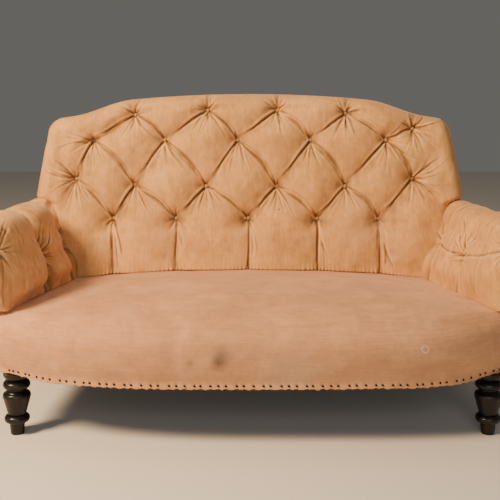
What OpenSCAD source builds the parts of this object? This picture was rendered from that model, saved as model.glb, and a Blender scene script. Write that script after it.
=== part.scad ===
// Deep-buttoned settee on two turned front legs and two raked rear posts.
// Origin on the floor under the middle, X to the right of someone who stands in front, Y to the back, Z up.

/* [Overall] */
// Width of the bowed seat front between the two corner roundings
frame_w = 1380; // [1150:10:1660]
// Depth of the seat frame, from the middle of the bow to the front face of the rear posts
frame_d = 646; // [538:2:776]
// Height of the back above the floor
back_h = 942; // [860:2:1130]
// Height of the rail's lower edge, and so of the legs
leg_h = 172; // [150:1:206]
// Distance from the frame's middle forward to the middle of the whole object
frame_shift = 61; // [40:1:80]

/* [Frame] */
// Height of the seat rails
rail_h = 80; // [66:1:96]
// Thickness of the seat rails
rail_t = 32; // [26:1:38]
// Depth of the bow of the front rail
front_bow = 129; // [100:1:155]
// Power of the bow's curve, higher is squarer
bow_power = 3.5; // [2.5:0.1:4.5]
// Radius of the front corners, over the cover
corner_r = 40; // [34:1:48]
// Lean of the back from upright, in degrees
lean = 8.15; // [5:0.05:11]
// Width of a rear post, seen from the front
post_w = 45; // [38:1:54]
// Thickness of a rear post and of the back's rails
post_t = 35; // [30:1:42]
// Outer half-distance over the rear posts, taken off half the seat's width
post_in = 18; // [10:1:30]
// Height of the crest rail's board
crest_h = 75; // [62:1:90]
// Gap left in a glued joint
joint_gap = 0.15; // [0.1:0.05:0.3]

/* [Legs] */
// Distance of a leg's axis in from the corner rounding
leg_in = 40; // [34:1:48]
// Distance of a leg's axis behind the cover
leg_set = 27; // [24:1:34]
// Radius of the cup under the rail
cup_r = 36; // [30:0.5:40]
// Greatest radius of the tapered vase
vase_r = 38; // [32:0.5:44]
// Radius of the narrow necks
neck_r = 24.5; // [20:0.5:28]
// Radius of the foot at the floor
foot_r = 18.5; // [15:0.5:21]
// Height of the foot
foot_h = 31; // [26:1:36]
// Radius of the lower bead's section
low_bead_r = 10.5; // [8:0.5:12]
// Radius of the upper bead's section
high_bead_r = 11.5; // [9:0.5:13]
// Radius of the spigot
spigot_r = 13; // [10:0.5:15]
// Length of the spigot
spigot_l = 60; // [45:1:64]

/* [Seat] */
// Height of the seat's front edge above the rail
edge_h = 88; // [76:1:105]
// Rise of the seat's crown above its edge
crown_h = 42; // [30:1:50]
// How far the front edge swells out over the rail
front_swell = 24; // [16:1:29]
// Thickness of the cover over the rails
cover_t = 4; // [3:0.1:5]
// Number of springs across the seat
springs_x = 5; // [4:1:6]
// Number of springs from front to back
springs_y = 3; // [2:1:3]
// Radius of a spring at its ends
spring_r = 44; // [36:1:50]
// Radius of a spring at its waist
waist_r = 26; // [20:1:34]
// Radius of the spring wire
wire_r = 1.9; // [1.5:0.1:2.4]
// Width of a webbing strip
web_w = 50; // [42:1:60]
// Mean spacing of the tacks
tack_step = 22.5; // [18:0.5:28]
// Radius of a tack's head
tack_r = 3.2; // [2.6:0.1:4]

/* [Back] */
// Thickness of the pad in front of the frame at the crown of its diamonds
pad_t = 69; // [58:1:82]
// Depth at which the buttons sit below the crown
button_depth = 42; // [34:1:50]
// Depth of a fold half-way between two buttons
fold_depth = 22; // [16:1:27]
// Radius of a covered button
button_r = 7.5; // [6:0.5:10]
// Radius of the roll along the top
top_roll = 48; // [40:1:56]
// Drop of the top edge from its middle to the shoulders
shoulder_drop = 33; // [24:1:42]

/* [Arms] */
// Height of the arms above the floor
arm_h = 585; // [520:1:660]
// Radius of the arm roll
arm_r = 70; // [60:1:80]
// How far the roll's centre lies outside the seat's front corner
arm_out = 58; // [44:1:70]
// Width of the arm rail
arm_rail_w = 44; // [38:1:50]
// Height of the arm rail
arm_rail_h = 40; // [34:1:46]

/* [Hidden] */
sand = "#C69A68";
seat_sand = "#B98D6C";
ebonised = "#1B1715";
beech = "#C9A878";
hessian = "#A58A5F";
steel = "#8C8E90";
EPS = 0.01;
seat_gap = 0.3;
half_w = frame_w / 2;
y_front = -frame_d / 2 - frame_shift;
y_post = frame_d / 2 - frame_shift;
rail_top = leg_h + rail_h;
edge_z = rail_top + edge_h;
wood_inset = cover_t + seat_gap;

// Plan of the seat front: a station is [x, y, normal x, normal y] on the cover's outer face
corner_a = atan(front_bow * bow_power / half_w);
corner_x = half_w - corner_r * sin(corner_a);
corner_y = y_front + front_bow + corner_r * cos(corner_a);
function front_y(x) = y_front + front_bow * pow(abs(x) / half_w, bow_power);
function front_a(x) = sign(x) * atan(front_bow * bow_power / half_w * pow(abs(x) / half_w, bow_power - 1));
function station(x) = [x, front_y(x), sin(front_a(x)), -cos(front_a(x))];
function corner_station(side, a) =
    [side * (corner_x + corner_r * sin(a)), corner_y - corner_r * cos(a), side * sin(a), -cos(a)];
function off(s, out) = [s[0] + s[2] * out, s[1] + s[3] * out];
corner_steps = 5;
bow_steps = 32;
// Stations lie closer together towards the ends, where the bow curves most
function spread(t) = t * (1.25 - 0.25 * t * t);
function stations(x) = [for (i = [-bow_steps / 2:bow_steps / 2]) station(x * spread(2 * i / bow_steps))];
function corner(side, last) =
    [for (i = [1:corner_steps]) corner_station(side, corner_a + (last - corner_a) * i / corner_steps)];
function mirrored(list) = [for (i = [len(list) - 1:-1:0]) list[i]];
seat_stations = concat(mirrored(corner(-1, 90)), stations(half_w), corner(1, 90));
side_x = corner_x + corner_r;

// Frame lines in plan
rail_out = side_x - wood_inset;
post_out = half_w - post_in;
post_mid = post_out - post_w / 2;
block_x = half_w - 92;
block_back = corner_y + 51;
function side_line(y) = rail_out + (post_out - rail_out) * min(1, (y - block_back) / (y_post - block_back));

// Closed skin through rings of points; turned(i, j) picks a quad's other diagonal. Each end is closed by a fan,
// or by a strip between the ring's first points, as many as its chain says, and the rest of the ring run backwards
function mean(list) = [for (k = [0:2]) [for (p = list) p[k]] * [for (p = list) 1] / len(list)];
function six_volume(points, faces) =
    [for (f = faces) cross(points[f[0]], points[f[1]]) * points[f[2]]] * [for (f = faces) 1];
function strip(a, b, first, m) = [for (s = [0:a + b - 3])
    let (share = (a - 1) / (a + b - 2), i = floor(s * share + 0.5), k = floor((s + 1) * share + 0.5))
        [first + i, first + m - 1 - s + i, first + (k > i ? k : m - 2 - s + i)]];
function flipped(faces) = [for (f = faces) [f[2], f[1], f[0]]];
module loft(rings, turned = function(i, j) false, chains = [0, 0]) {
    n = len(rings);
    m = len(rings[0]);
    points = concat([for (r = rings) each r], [mean(rings[0]), mean(rings[n - 1])]);
    sides = [for (i = [0:n - 2], j = [0:m - 1])
        let (a = i * m + j, b = i * m + (j + 1) % m, c = b + m, d = a + m)
            each (turned(i, j) ? [[a, b, d], [b, c, d]] : [[a, b, c], [a, c, d]])];
    start = chains[0] > 0 ? strip(chains[0], m - chains[0], 0, m)
        : [for (j = [0:m - 1]) [n * m, (j + 1) % m, j]];
    finish = chains[1] > 0 ? flipped(strip(chains[1], m - chains[1], (n - 1) * m, m))
        : [for (j = [0:m - 1]) [n * m + 1, (n - 1) * m + j, (n - 1) * m + (j + 1) % m]];
    faces = concat(sides, start, finish);
    inward = six_volume(points, faces) < 0;
    polyhedron(points, inward ? faces : flipped(faces));
}
module both(side) {
    if (side > 0) children();
    else mirror([1, 0, 0]) children();
}

// Turned front leg, from the floor up: foot, bead, tapered vase, neck, bead, cup and spigot
leg_x = half_w - leg_in;
leg_y = front_y(leg_x) + leg_set;
low_bead_z = foot_h + low_bead_r + 2.5;
vase_z = low_bead_z + low_bead_r + 1.5;
high_bead_z = leg_h - 21.5 - high_bead_r;
vase_top = high_bead_z - high_bead_r - 21.5;
vase_round = 9;
module front_leg(side) {
    color(ebonised) translate([side * leg_x, leg_y, 0]) rotate_extrude($fn = 48) {
        polygon([[0, 0], [foot_r - 1.5, 0], [foot_r, 3], [foot_r + 2.3, foot_h], [neck_r - 3, foot_h + 2],
            [neck_r - 3, vase_z], [neck_r, vase_z], [vase_r, vase_top], [vase_r - 4, vase_top + 8],
            [neck_r, vase_top + 18], [neck_r, leg_h - 21], [cup_r - 4.5, leg_h - 14], [cup_r, leg_h - 6],
            [cup_r, leg_h], [spigot_r, leg_h], [spigot_r, leg_h + spigot_l], [0, leg_h + spigot_l]]);
        translate([neck_r - 0.5, low_bead_z]) circle(low_bead_r);
        translate([neck_r + 1.1, high_bead_z]) circle(high_bead_r);
        translate([vase_r - vase_round, vase_top + 3]) circle(vase_round);
    }
}

// Tenons are cut from one size and their mortises are larger by the joint gap
tenon_t = 12;
tenon_l = 30;
side_tenon_l = 20;
short_tenon = 12;
tenon_z = leg_h + 10;
tenon_h = rail_h - 40;
module tenon(l, t, h, clear = 0) {
    translate([-1, -t / 2 - clear, -clear]) cube([l + 1 + 3 * clear, t + 2 * clear, h + 2 * clear]);
}
block_station = station(block_x);
block_a = front_a(block_x);
rail_mid = off(block_station, -wood_inset - rail_t / 2);
side_mid = side_line(block_back) - rail_t / 2;
arm_tenon_l = 25;
arm_tenon_w = 24;
arm_post_t = 45;
arm_y = corner_y + 0.4;
arm_foot_x = rail_out - 32;
module arm_post_tenon(clear = 0) {
    translate([arm_foot_x + 16 - tenon_t / 2 - clear, arm_y + 7 - clear, rail_top - arm_tenon_l - clear])
        cube([tenon_t + 2 * clear, arm_tenon_w + 2 * clear, arm_tenon_l + 1 + clear]);
}
module corner_block(side) {
    color(beech) both(side) difference() {
        translate([0, 0, leg_h]) linear_extrude(rail_h) polygon(concat(
            [for (i = [0:6]) off(station(block_x + (half_w - block_x) * i / 6), -wood_inset)],
            [for (s = corner(1, 90)) off(s, -wood_inset)],
            [[rail_out, block_back], [block_x - 8, block_back], off(block_station, -wood_inset - rail_t)]));
        translate([leg_x, leg_y, leg_h - 1]) cylinder(r = spigot_r + joint_gap, h = spigot_l + 2);
        translate([rail_mid[0], rail_mid[1], tenon_z]) rotate([0, 0, block_a])
            tenon(tenon_l, tenon_t, tenon_h, joint_gap);
        translate([side_mid, block_back, tenon_z]) rotate([0, 0, -90])
            tenon(side_tenon_l, tenon_t, tenon_h, joint_gap);
        arm_post_tenon(joint_gap);
    }
}
module front_rail() {
    rail_stations = stations(block_x);
    color(beech) union() {
        translate([0, 0, leg_h]) linear_extrude(rail_h) polygon(concat(
            [for (s = rail_stations) off(s, -wood_inset)],
            mirrored([for (s = rail_stations) off(s, -wood_inset - rail_t)])));
        for (side = [-1, 1]) both(side) translate([rail_mid[0], rail_mid[1], tenon_z])
            rotate([0, 0, block_a]) tenon(tenon_l, tenon_t, tenon_h);
    }
}
module side_rail(side) {
    color(beech) both(side) union() {
        translate([0, 0, leg_h]) linear_extrude(rail_h) polygon([[side_line(block_back), block_back],
            [side_line(y_post), y_post], [side_line(y_post) - rail_t, y_post],
            [side_line(block_back) - rail_t, block_back]]);
        translate([side_mid, block_back, tenon_z]) rotate([0, 0, -90]) tenon(side_tenon_l, tenon_t, tenon_h);
        translate([side_line(y_post) - rail_t / 2, y_post, tenon_z]) rotate([0, 0, 90])
            tenon(tenon_l, tenon_t, tenon_h);
    }
}
rear_rail_y = y_post + 4;
rear_mid = rear_rail_y + rail_t / 2;
module rear_rail() {
    w = post_out - post_w;
    color(beech) union() {
        translate([-w, rear_rail_y, leg_h]) cube([2 * w, rail_t, rail_h]);
        for (side = [-1, 1]) both(side) translate([w, rear_mid, tenon_z]) tenon(short_tenon, tenon_t, tenon_h);
    }
}
stretcher_x = 125;
stretcher_h = 32;
stretcher_z = leg_h + 4;
module seat_stretchers() {
    near = off(station(stretcher_x + post_w / 2), -wood_inset - rail_t)[1];
    color(beech) for (side = [-1, 1]) translate([side * stretcher_x - post_w / 2, near + joint_gap, stretcher_z])
        cube([post_w, rear_rail_y - near - 2 * joint_gap, stretcher_h]);
}

// Frame of the back: x across, y out of its front face, z up along its lean from the rail's top
module leant() {
    translate([0, y_post, rail_top]) rotate([-lean, 0, 0]) children();
}
function leant_point(x, y, z) =
    [x, y_post + y * cos(lean) + z * sin(lean), rail_top - y * sin(lean) + z * cos(lean)];
function up(z, y = 0) = (z - rail_top + y * sin(lean)) / cos(lean);
crown = 27;
crown_x = 480 / 690 * half_w;
shoulder_in = 400 / 690 * half_w;
shoulder_x = 600 / 690 * half_w;
function smooth(t) = let (s = min(1, max(0, t))) s * s * (3 - 2 * s);
function top_z(x) = back_h - crown * pow(x / crown_x, 2)
    - shoulder_drop * smooth((abs(x) - shoulder_in) / (shoulder_x - shoulder_in));
over_crest = 24;
flat_x = post_out - post_w - 27;
crest_set = 26;
function crest_top(x) = up(top_z(abs(x) + crest_set) - over_crest);
function crest_bottom(x) = crest_top(min(abs(x), flat_x)) - crest_h;
foot_back = 56;
post_foot = 34;
post_ankle = 44;
post_tenon = [30, 12, 30];
module back_post(side) {
    tail = post_t / cos(lean);
    shoulder = crest_bottom(flat_x) - joint_gap;
    color(beech) both(side) difference() {
        union() {
            translate([post_out, 0, 0]) rotate([90, 0, -90]) linear_extrude(post_w) polygon([
                [-(y_post + foot_back), 0], [-y_post, leg_h], [-y_post, rail_top], [-(y_post + tail), rail_top],
                [-(y_post + post_ankle), leg_h], [-(y_post + foot_back + post_foot), 0]]);
            leant() intersection() {
                translate([post_out - post_w, 0, -post_t]) cube([post_w, post_t, shoulder + post_t]);
                translate([0, -post_t, 0]) rotate([lean, 0, 0]) translate([0, -post_t, -EPS])
                    cube([2 * half_w, 6 * post_t, 2 * shoulder]);
            }
            leant() translate([post_mid - post_tenon[0] / 2, (post_t - post_tenon[1]) / 2, shoulder - 1])
                cube([post_tenon[0], post_tenon[1], post_tenon[2] + 1]);
        }
        translate([side_line(y_post) - rail_t / 2, y_post, tenon_z]) rotate([0, 0, 90])
            tenon(tenon_l, tenon_t, tenon_h, joint_gap);
        translate([post_out - post_w, rear_mid, tenon_z]) tenon(short_tenon, tenon_t, tenon_h, joint_gap);
        leant() translate([post_out - post_w, post_t / 2, low_rail_z + low_shoulder])
            tenon(short_tenon, tenon_t, low_rail_h - 2 * low_shoulder, joint_gap);
    }
}
crest_steps = 36;
crest_round = 24;
module crest_rail() {
    xs = [for (i = [-crest_steps / 2:crest_steps / 2]) post_out * 2 * i / crest_steps];
    color(beech) leant() difference() {
        translate([0, post_t, 0]) rotate([90, 0, 0]) linear_extrude(post_t) polygon(concat(
            [for (x = xs) [x, crest_top(x) - (abs(x) > post_out - 1 ? crest_round : 0)]],
            mirrored([for (x = xs) [x, crest_bottom(x)]])));
        for (side = [-1, 1]) translate([side * post_mid - post_tenon[0] / 2 - joint_gap,
            (post_t - post_tenon[1]) / 2 - joint_gap, crest_bottom(flat_x) - 1])
            cube([post_tenon[0] + 2 * joint_gap, post_tenon[1] + 2 * joint_gap, post_tenon[2] + 1 + 2 * joint_gap]);
    }
}
low_rail_z = 85;
low_rail_h = 45;
low_shoulder = 6;
module lower_back_rail() {
    w = post_out - post_w;
    color(beech) leant() union() {
        translate([-w, 0, low_rail_z]) cube([2 * w, post_t, low_rail_h]);
        for (side = [-1, 1]) both(side) translate([w, post_t / 2, low_rail_z + low_shoulder])
            tenon(short_tenon, tenon_t, low_rail_h - 2 * low_shoulder);
    }
}
muntin_x = 215;
muntin_t = 28;
module back_muntins() {
    low = low_rail_z + low_rail_h + joint_gap;
    color(beech) leant() for (x = [-muntin_x, muntin_x]) translate([0, (post_t + muntin_t) / 2, 0]) rotate([90, 0, 0])
        linear_extrude(muntin_t) polygon([[x - post_w / 2, low], [x + post_w / 2, low],
            [x + post_w / 2, crest_bottom(x + post_w / 2) - joint_gap],
            [x - post_w / 2, crest_bottom(x - post_w / 2) - joint_gap]]);
}

// Seat: webbing under the rails, springs on it, twine, canvas, edge roll, stuffing and the tight cover
web_t = 2;
web_low = leg_h - seat_gap - web_t;
module seat_webbing() {
    color(hessian) {
        for (i = [0:springs_x - 1]) let (x = spring_x(i), y0 = front_y(abs(x) + web_w / 2) + wood_inset + 8)
            translate([x - web_w / 2, y0, web_low]) cube([web_w, y_post + 20 - y0, web_t]);
        for (j = [0:springs_y - 1]) let (y = spring_y(j), by_leg = abs(y - leg_y) < cup_r + web_w / 2 + 2,
            w = by_leg ? leg_x - cup_r - 6 : side_line(y + web_w / 2) - 8)
            translate([-w, y - web_w / 2, web_low - seat_gap - web_t]) cube([2 * w, web_w, web_t]);
    }
}
spring_span = 2 * half_w - 380;
spring_foot = leg_h + seat_gap;
spring_top = rail_top + 25;
coils = 4;
coil_rings = 8;
wire_sides = 4;
function spring_x(i) = -spring_span / 2 + spring_span * i / (springs_x - 1);
function spring_y(j) = y_front + 140 + (frame_d - 230) * j / (springs_y - 1);
function spring_point(t) = let (r = waist_r + (spring_r - waist_r) * pow(2 * t - 1, 2), a = 90 + 360 * coils * t)
    [r * cos(a), r * sin(a), spring_foot + wire_r + (spring_top - spring_foot - 2 * wire_r) * t];
function tube_ring(p, ahead, r, sides) = let (
    d = ahead / norm(ahead), u = cross(d, [0, 0, 1]) / norm(cross(d, [0, 0, 1])), v = cross(u, d))
    [for (k = [0:sides - 1]) let (a = 360 * (k + 0.5) / sides) p + r * cos(a) * u + r * sin(a) * v];
module seat_springs() {
    n = coils * coil_rings;
    spring = [for (k = [0:n]) let (t = k / n)
        tube_ring(spring_point(t), spring_point(t + 0.001) - spring_point(t - 0.001), wire_r, wire_sides)];
    color(steel) for (i = [0:springs_x - 1], j = [0:springs_y - 1]) translate([spring_x(i), spring_y(j), 0])
        loft(spring);
}
twine_r = 0.7;
twine_z = spring_top + seat_gap + twine_r;
cross_z = twine_z + 2 * twine_r + 0.2;
function inside_rail(x) = off(station(x), -wood_inset - rail_t / 2)[1];
function lacing_x(y) = (y < y_front + front_bow ? half_w * pow((y - y_front) / front_bow, 1 / bow_power) - wood_inset - 6
    : side_line(y)) - rail_t / 2;
module twine(points) {
    n = len(points) - 1;
    loft([for (k = [0:n]) tube_ring(points[k], points[min(k + 1, n)] - points[max(k - 1, 0)], twine_r, 5)]);
}
module spring_lacing() {
    tack_z = rail_top + seat_gap + twine_r;
    color(hessian) {
        for (i = [0:springs_x - 1]) let (x = spring_x(i)) twine([[x, inside_rail(x) + 2, tack_z],
            [x, inside_rail(x) + 14, tack_z], [x, spring_y(0) - spring_r, twine_z],
            [x, spring_y(springs_y - 1) + spring_r, twine_z], [x, rear_mid - 6, tack_z], [x, rear_mid + 6, tack_z]]);
        for (j = [0:springs_y - 1]) let (y = spring_y(j), x = spring_x(springs_x - 1) + spring_r,
            e = lacing_x(y))
            twine([[-e - 5, y, tack_z], [-e + 5, y, tack_z], [-x, y, cross_z], [x, y, cross_z], [e - 5, y, tack_z],
                [e + 5, y, tack_z]]);
    }
}
edge_roll_r = 13.5;
roll_z = rail_top + seat_gap + edge_roll_r;
canvas_z = max(roll_z + edge_roll_r, cross_z + twine_r) + seat_gap;
canvas_t = 1.4;
stuff_top = canvas_z + canvas_t + 36;
seat_back_y = y_post - 5;
seat_side_x = arm_foot_x - 1;
seat_rear_x = post_out - 42;
function seat_side(y) = seat_side_x + (seat_rear_x - seat_side_x) * (y - corner_y) / (seat_back_y - corner_y);
function seat_plan(out, last = 70) = concat([for (s = mirrored(corner(-1, last))) off(s, out)],
    [for (s = stations(half_w)) off(s, out)], [for (s = corner(1, last)) off(s, out)],
    [[seat_side_x - 1, corner_y - 2], [seat_side_x - 3, corner_y + 3], [seat_rear_x - 3, seat_back_y - 1],
    [-seat_rear_x + 3, seat_back_y - 1], [-seat_side_x + 3, corner_y + 3], [-seat_side_x + 1, corner_y - 2]]);
module edge_roll() {
    color(hessian) loft([for (s = concat(mirrored(corner(-1, 38)), stations(half_w), corner(1, 38)))
        let (c = off(s, -edge_roll_r + 5)) [for (k = [0:5]) let (a = 60 * k + 30)
            [c[0] + s[2] * edge_roll_r * cos(a), c[1] + s[3] * edge_roll_r * cos(a), roll_z + edge_roll_r * sin(a)]]]);
}
module seat_canvas() {
    color(hessian) translate([0, 0, canvas_z]) linear_extrude(canvas_t) polygon(seat_plan(-6));
}
module seat_stuffing() {
    z = canvas_z + canvas_t + seat_gap;
    color(hessian) translate([0, 0, z]) linear_extrude(stuff_top - z) polygon(seat_plan(0));
}
cloth_t = 1.4;
module bottom_cloth() {
    w = post_out - post_w - 2;
    color("#2A2724") difference() {
        translate([0, 0, web_low - web_t - 2 * seat_gap - cloth_t]) linear_extrude(cloth_t) polygon(concat(
            [for (s = concat(mirrored(corner(-1, 90)), stations(half_w), corner(1, 90))) off(s, -wood_inset - 5)],
            [[post_out - 6, y_post - 2], [w, y_post - 2], [w, y_post + 22], [-w, y_post + 22], [-w, y_post - 2],
            [-post_out + 6, y_post - 2]]));
        for (side = [-1, 1]) translate([side * leg_x, leg_y, 0]) cylinder(r = cup_r + 0.6, h = leg_h, $fn = 48);
    }
}

// The cover rises a little over each leg's cup, and its crown falls to the flat margin under the arms
hem = 4;
hem_rise = 6;
hem_uneven = 5;
function hem_z(s) = let (over_leg = pow(cos(min(90, abs(abs(s[0]) - leg_x - 8) * 0.75)), 2))
    leg_h - hem + hem_rise * over_leg - hem_uneven * smooth((s[0] / half_w - 0.42) / 0.25) * (1 - over_leg);
arm_front = corner_y - 60;
function arm_in(y) = let (t = (y - arm_front) / (seat_back_y - 62 - arm_front))
    arm_foot_x + 2.7 - 75 * t - 42 * t * t;
function seat_top(x, y) = edge_z + crown_h * max(0, 1 - pow(abs(x) / (arm_in(max(y, arm_front)) - 14), 2.6))
    * (1 - 0.45 * smooth((y + 60) / (seat_back_y + 60))) * smooth((y - front_y(x)) / 260 + 0.25);
top_steps = 7;
swell_path = [[0, 0], [0, 0.22], [0.42, 0.53], [0.83, 0.93], [1, 1.32], [0.75, 1.64], [-0.1, 1.91]];
function seat_rear(s) = let (t = max(0, abs(s[0]) - 0.84 * half_w) / (half_w - 0.84 * half_w), x = sign(s[0]))
    abs(s[0]) < 0.84 * half_w ? [s[0] * seat_rear_x / (0.84 * half_w), seat_back_y]
    : t < 1 ? let (y = seat_back_y + (corner_y + 4 - seat_back_y) * t) [x * seat_side(y), y]
    : [x * seat_side_x, corner_y + 3.9 - 3.6 * (s[3] + cos(corner_a)) / cos(corner_a)];
function seat_ring(s) = let (
    swell = front_swell * (0.35 + 0.65 * abs(s[3])),
    rise = edge_z - (leg_h - hem),
    front = [for (p = swell_path) let (q = off(s, swell * p[0]))
        [q[0], q[1], p[1] == 0 ? hem_z(s) : leg_h - hem + rise * p[1] / 2.05]],
    back = seat_rear(s), lip = off(s, -30 * (0.4 + 0.6 * abs(s[3]))),
    top = [for (k = [0:top_steps]) let (q = lip + (back - lip) * k / top_steps) [q[0], q[1], seat_top(q[0], q[1])]],
    in = [[-cover_t - 24, stuff_top + 0.3], [0.6, stuff_top + 0.3], [2, canvas_z + 18], [2.6, canvas_z - 2],
        [6.5, roll_z - 1], [1.3, rail_top + 3.2], [-cover_t, rail_top - 2], [-cover_t, hem_z(s)]])
    concat(front, top, [[back[0], back[1], stuff_top + 0.3]], [for (p = in) let (q = off(s, p[0])) [q[0], q[1], p[1]]]);
seat_chain = len(swell_path) + top_steps + 1;
module seat_cover() {
    color(seat_sand) loft([for (s = seat_stations) seat_ring(s)],
        function(i, j) i < len(seat_stations) / 2 - 1, [seat_chain, seat_chain]);
}
tack_h = 1.6;
tack_z = 9;
// The tacks were driven by eye, so they stray to both sides, and closer together near the left leg
tack_stray = [3.2, 2.4];
tack_crowd = 5;
tack_last = floor((half_w - 15) / tack_step);
function tack_x(i) = tack_step * i + tack_stray[0] * sin(137.5 * i) + tack_stray[1] * sin(29 * i)
    + tack_crowd * max(0, 5 - tack_last - i);
module front_tacks() {
    dome = (tack_r * tack_r + tack_h * tack_h) / (2 * tack_h);
    color("#221C18") for (i = [-tack_last - 1:tack_last]) let (x = tack_x(i), s = station(x), p = off(s, 0.25))
        translate([p[0], p[1], hem_z(s) + tack_z]) rotate([90, 0, front_a(x)]) rotate_extrude($fn = 16)
            intersection() {
                translate([0, tack_h - dome]) circle(dome, $fn = 64);
                square([tack_r, tack_h]);
            }
}

// Inside back: a lattice of buttons, rows w from the lowest (0) to the top row (3), columns u half a diamond apart
bx = half_w / 690;
bz = (back_h - edge_z) / 602;
button_rows = [
    [[-1, -690], [1, -455], [3, -245], [5, -5], [7, 225], [9, 430], [11, 690]],
    [[-1, -690], [0, -580], [2, -385], [4, -145], [6, 90], [8, 320], [10, 545], [11, 690]],
    [[-1, -690], [1, -525], [3, -285], [5, -40], [7, 205], [9, 460], [11, 690]],
    [[-1, -690], [0, -600], [2, -385], [4, -140], [6, 95], [8, 325], [10, 550], [11, 690]]];
function lattice_x(u, w) = let (r = min(3, max(0, w)), a = floor(r), b = min(3, a + 1))
    bx * (lookup(u, button_rows[a]) * (1 - r + a) + lookup(u, button_rows[b]) * (r - a));
post_edge = post_out + 0.02;
corner_round = 45;
side_flare = 0.17;
function side_edge(z) = half_w + (back_h - 186 - z) * side_flare;
corner_in = half_w - 10 - corner_round;
function edge_top(x) = let (d = min(corner_round, max(0, abs(x) - corner_in)))
    top_z(x) - corner_round + sqrt(corner_round * corner_round - d * d);
arm_top_z = arm_h + 3;
rear_y = y_post - 55;
function row_z(x, w) = let (e = edge_top(x)) lookup(w, [[-1, seat_top(x, rear_y) + 1], [0, edge_z + 187 * bz],
    [1, edge_z + (294 + 25 * smooth((abs(x) / bx - 330) / 200)) * bz],
    [2, edge_z + (448 - 45 * smooth((abs(x) / bx - 520) / 150)) * bz], [3, e - 52], [4, e]]);
puff_power = 0.4;
function puff(u, w) = w < 0 ? pow(abs(sin(90 * (u + 1))), 2 * puff_power)
    : w > 3 ? pow(abs(sin(90 * u)), 2 * puff_power)
    : pow(abs(sin(90 * (u + w + 1)) * sin(90 * (u - w + 1))), puff_power);
function knot(u, w) = w < 0 || w > 3 ? 0 : pow(abs(cos(90 * (u + w + 1)) * cos(90 * (u - w + 1))), 3);
function quarter(d, r) = d >= r ? 0 : 1 - sqrt(1 - pow(1 - max(0, d) / r, 2));
roll_back = 50;
side_roll = 48;
rest_y = -6.5;
function pad_edge(z) = post_out + (side_edge(z) - post_out) * smooth((z - arm_h + 10) / 30);
function pad_y(u, w, x, z) = let (
    fade = min(1, max(0, (half_w - abs(x)) / 60)),
    dent = fade * (fold_depth * (1 - puff(u, w)) + (button_depth - fold_depth) * knot(u, w)),
    roll = roll_back * min(1, quarter(pad_edge(z) - abs(x), side_roll) + quarter(edge_top(x) - z, top_roll)))
    -pad_t + max(dent * (1 - roll / roll_back), 0) + roll;
rows_n = 15;
function row_w(j) = -1 + 5 * j / rows_n;
function pad_ring(xs, us, low) = let (
    xt = xs[rows_n],
    inner = low == 0,
    zs = [for (j = [0:rows_n]) inner ? row_z(xs[j], row_w(j))
        : low + (edge_top(corner_in + corner_round * min(1, (abs(xt) - corner_in) / corner_round)) - low) * j / rows_n],
    front = [for (j = [0:rows_n]) let (y = pad_y(us[j], row_w(j), xs[j], zs[j])) [xs[j], y, up(zs[j], y)]],
    edge = up(zs[rows_n], 0),
    crest = min(crest_top(xt) + 4, edge - 16),
    rest = inner ? rest_y : post_t - 1,
    sill = inner ? up(seat_top(xs[0], y_post - 8) + 1, rest) : up(low, rest))
    [for (p = concat(front, [[xt, post_t * 0.25, edge + 1.5], [xt, post_t - 9, edge - 3], [xt, post_t - 0.5, edge - 13]],
        inner ? [[xt, post_t - 0.6, crest], [xt, rest, crest]]
            : [[xt, post_t - 0.7, edge - 16], [xt, post_t - 0.8, edge - 22]],
        [[(xt + xs[0]) / 2, rest, (edge + sill) / 2], [xs[0], rest, sill]]))
        leant_point(p[0], p[1], p[2])];
side_steps = [0, 0.4, 0.75, 1];
function wrap_z(j) = arm_top_z + (edge_top(post_out) - arm_top_z) * j / rows_n;
function wrap_ring(side, f) = pad_ring(
    [for (j = [0:rows_n]) side * (post_out + 0.12 + f * (side_edge(wrap_z(j)) - post_out - 0.12))],
    [for (j = [0:rows_n]) side < 0 ? -1 : 11], arm_top_z);
function end_ring(side, t) = let (u = side < 0 ? 0 : 10) pad_ring(
    [for (j = [0:rows_n]) lattice_x(u, row_w(j)) * (1 - t) + side * post_edge * t],
    [for (j = [0:rows_n]) u + side * t], 0);
column_steps = 30;
back_rings = concat([for (f = mirrored(side_steps)) wrap_ring(-1, f)], [end_ring(-1, 1), end_ring(-1, 0.55)],
    [for (i = [0:column_steps]) let (u = 10 * i / column_steps)
        pad_ring([for (j = [0:rows_n]) lattice_x(u, row_w(j))], [for (j = [0:rows_n]) u], 0)],
    [end_ring(1, 0.55), end_ring(1, 1)], [for (f = side_steps) wrap_ring(1, f)]);
first_column = len(side_steps) + 2;
// A fold climbs from a button to the next on the same side as the lattice's lines
function fold_turned(i, j) = let (u = 10 * (i - first_column + 0.5) / column_steps, w = row_w(j + 0.5),
    near_a = abs(sin(90 * (u + w + 1))), near_b = abs(sin(90 * (u - w + 1)))) near_a < near_b;
module inside_back() {
    color(sand) loft(back_rings, function(i, j) fold_turned(i, j));
}
button_points = [for (w = [0:3], u = [0:10]) if ((u + w) % 2 == 1 && !(w == 3 && u == 0))
    let (x = lattice_x(u, w), z = row_z(x, w), y = pad_y(u, w, x, z)) [x, y, up(z, y)]];
button_back = 11;
button_dome = 3.5;
button_seat = 0.8;
button_shank = 2.2;
module button() {
    rotate_extrude($fn = 24) polygon([[0, button_seat], [button_shank, button_seat + 0.6],
        [button_shank, button_back * 0.7], [button_r, button_back + 0.3], [button_r - 0.4, button_back + 1.3],
        [button_r * 0.6, button_back + button_dome - 0.4], [button_r * 0.25, button_back + button_dome],
        [0, button_back + button_dome]]);
}
module back_buttons() {
    color(sand) leant() for (p = button_points) translate(p) rotate([90, 0, 0]) button();
}
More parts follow.
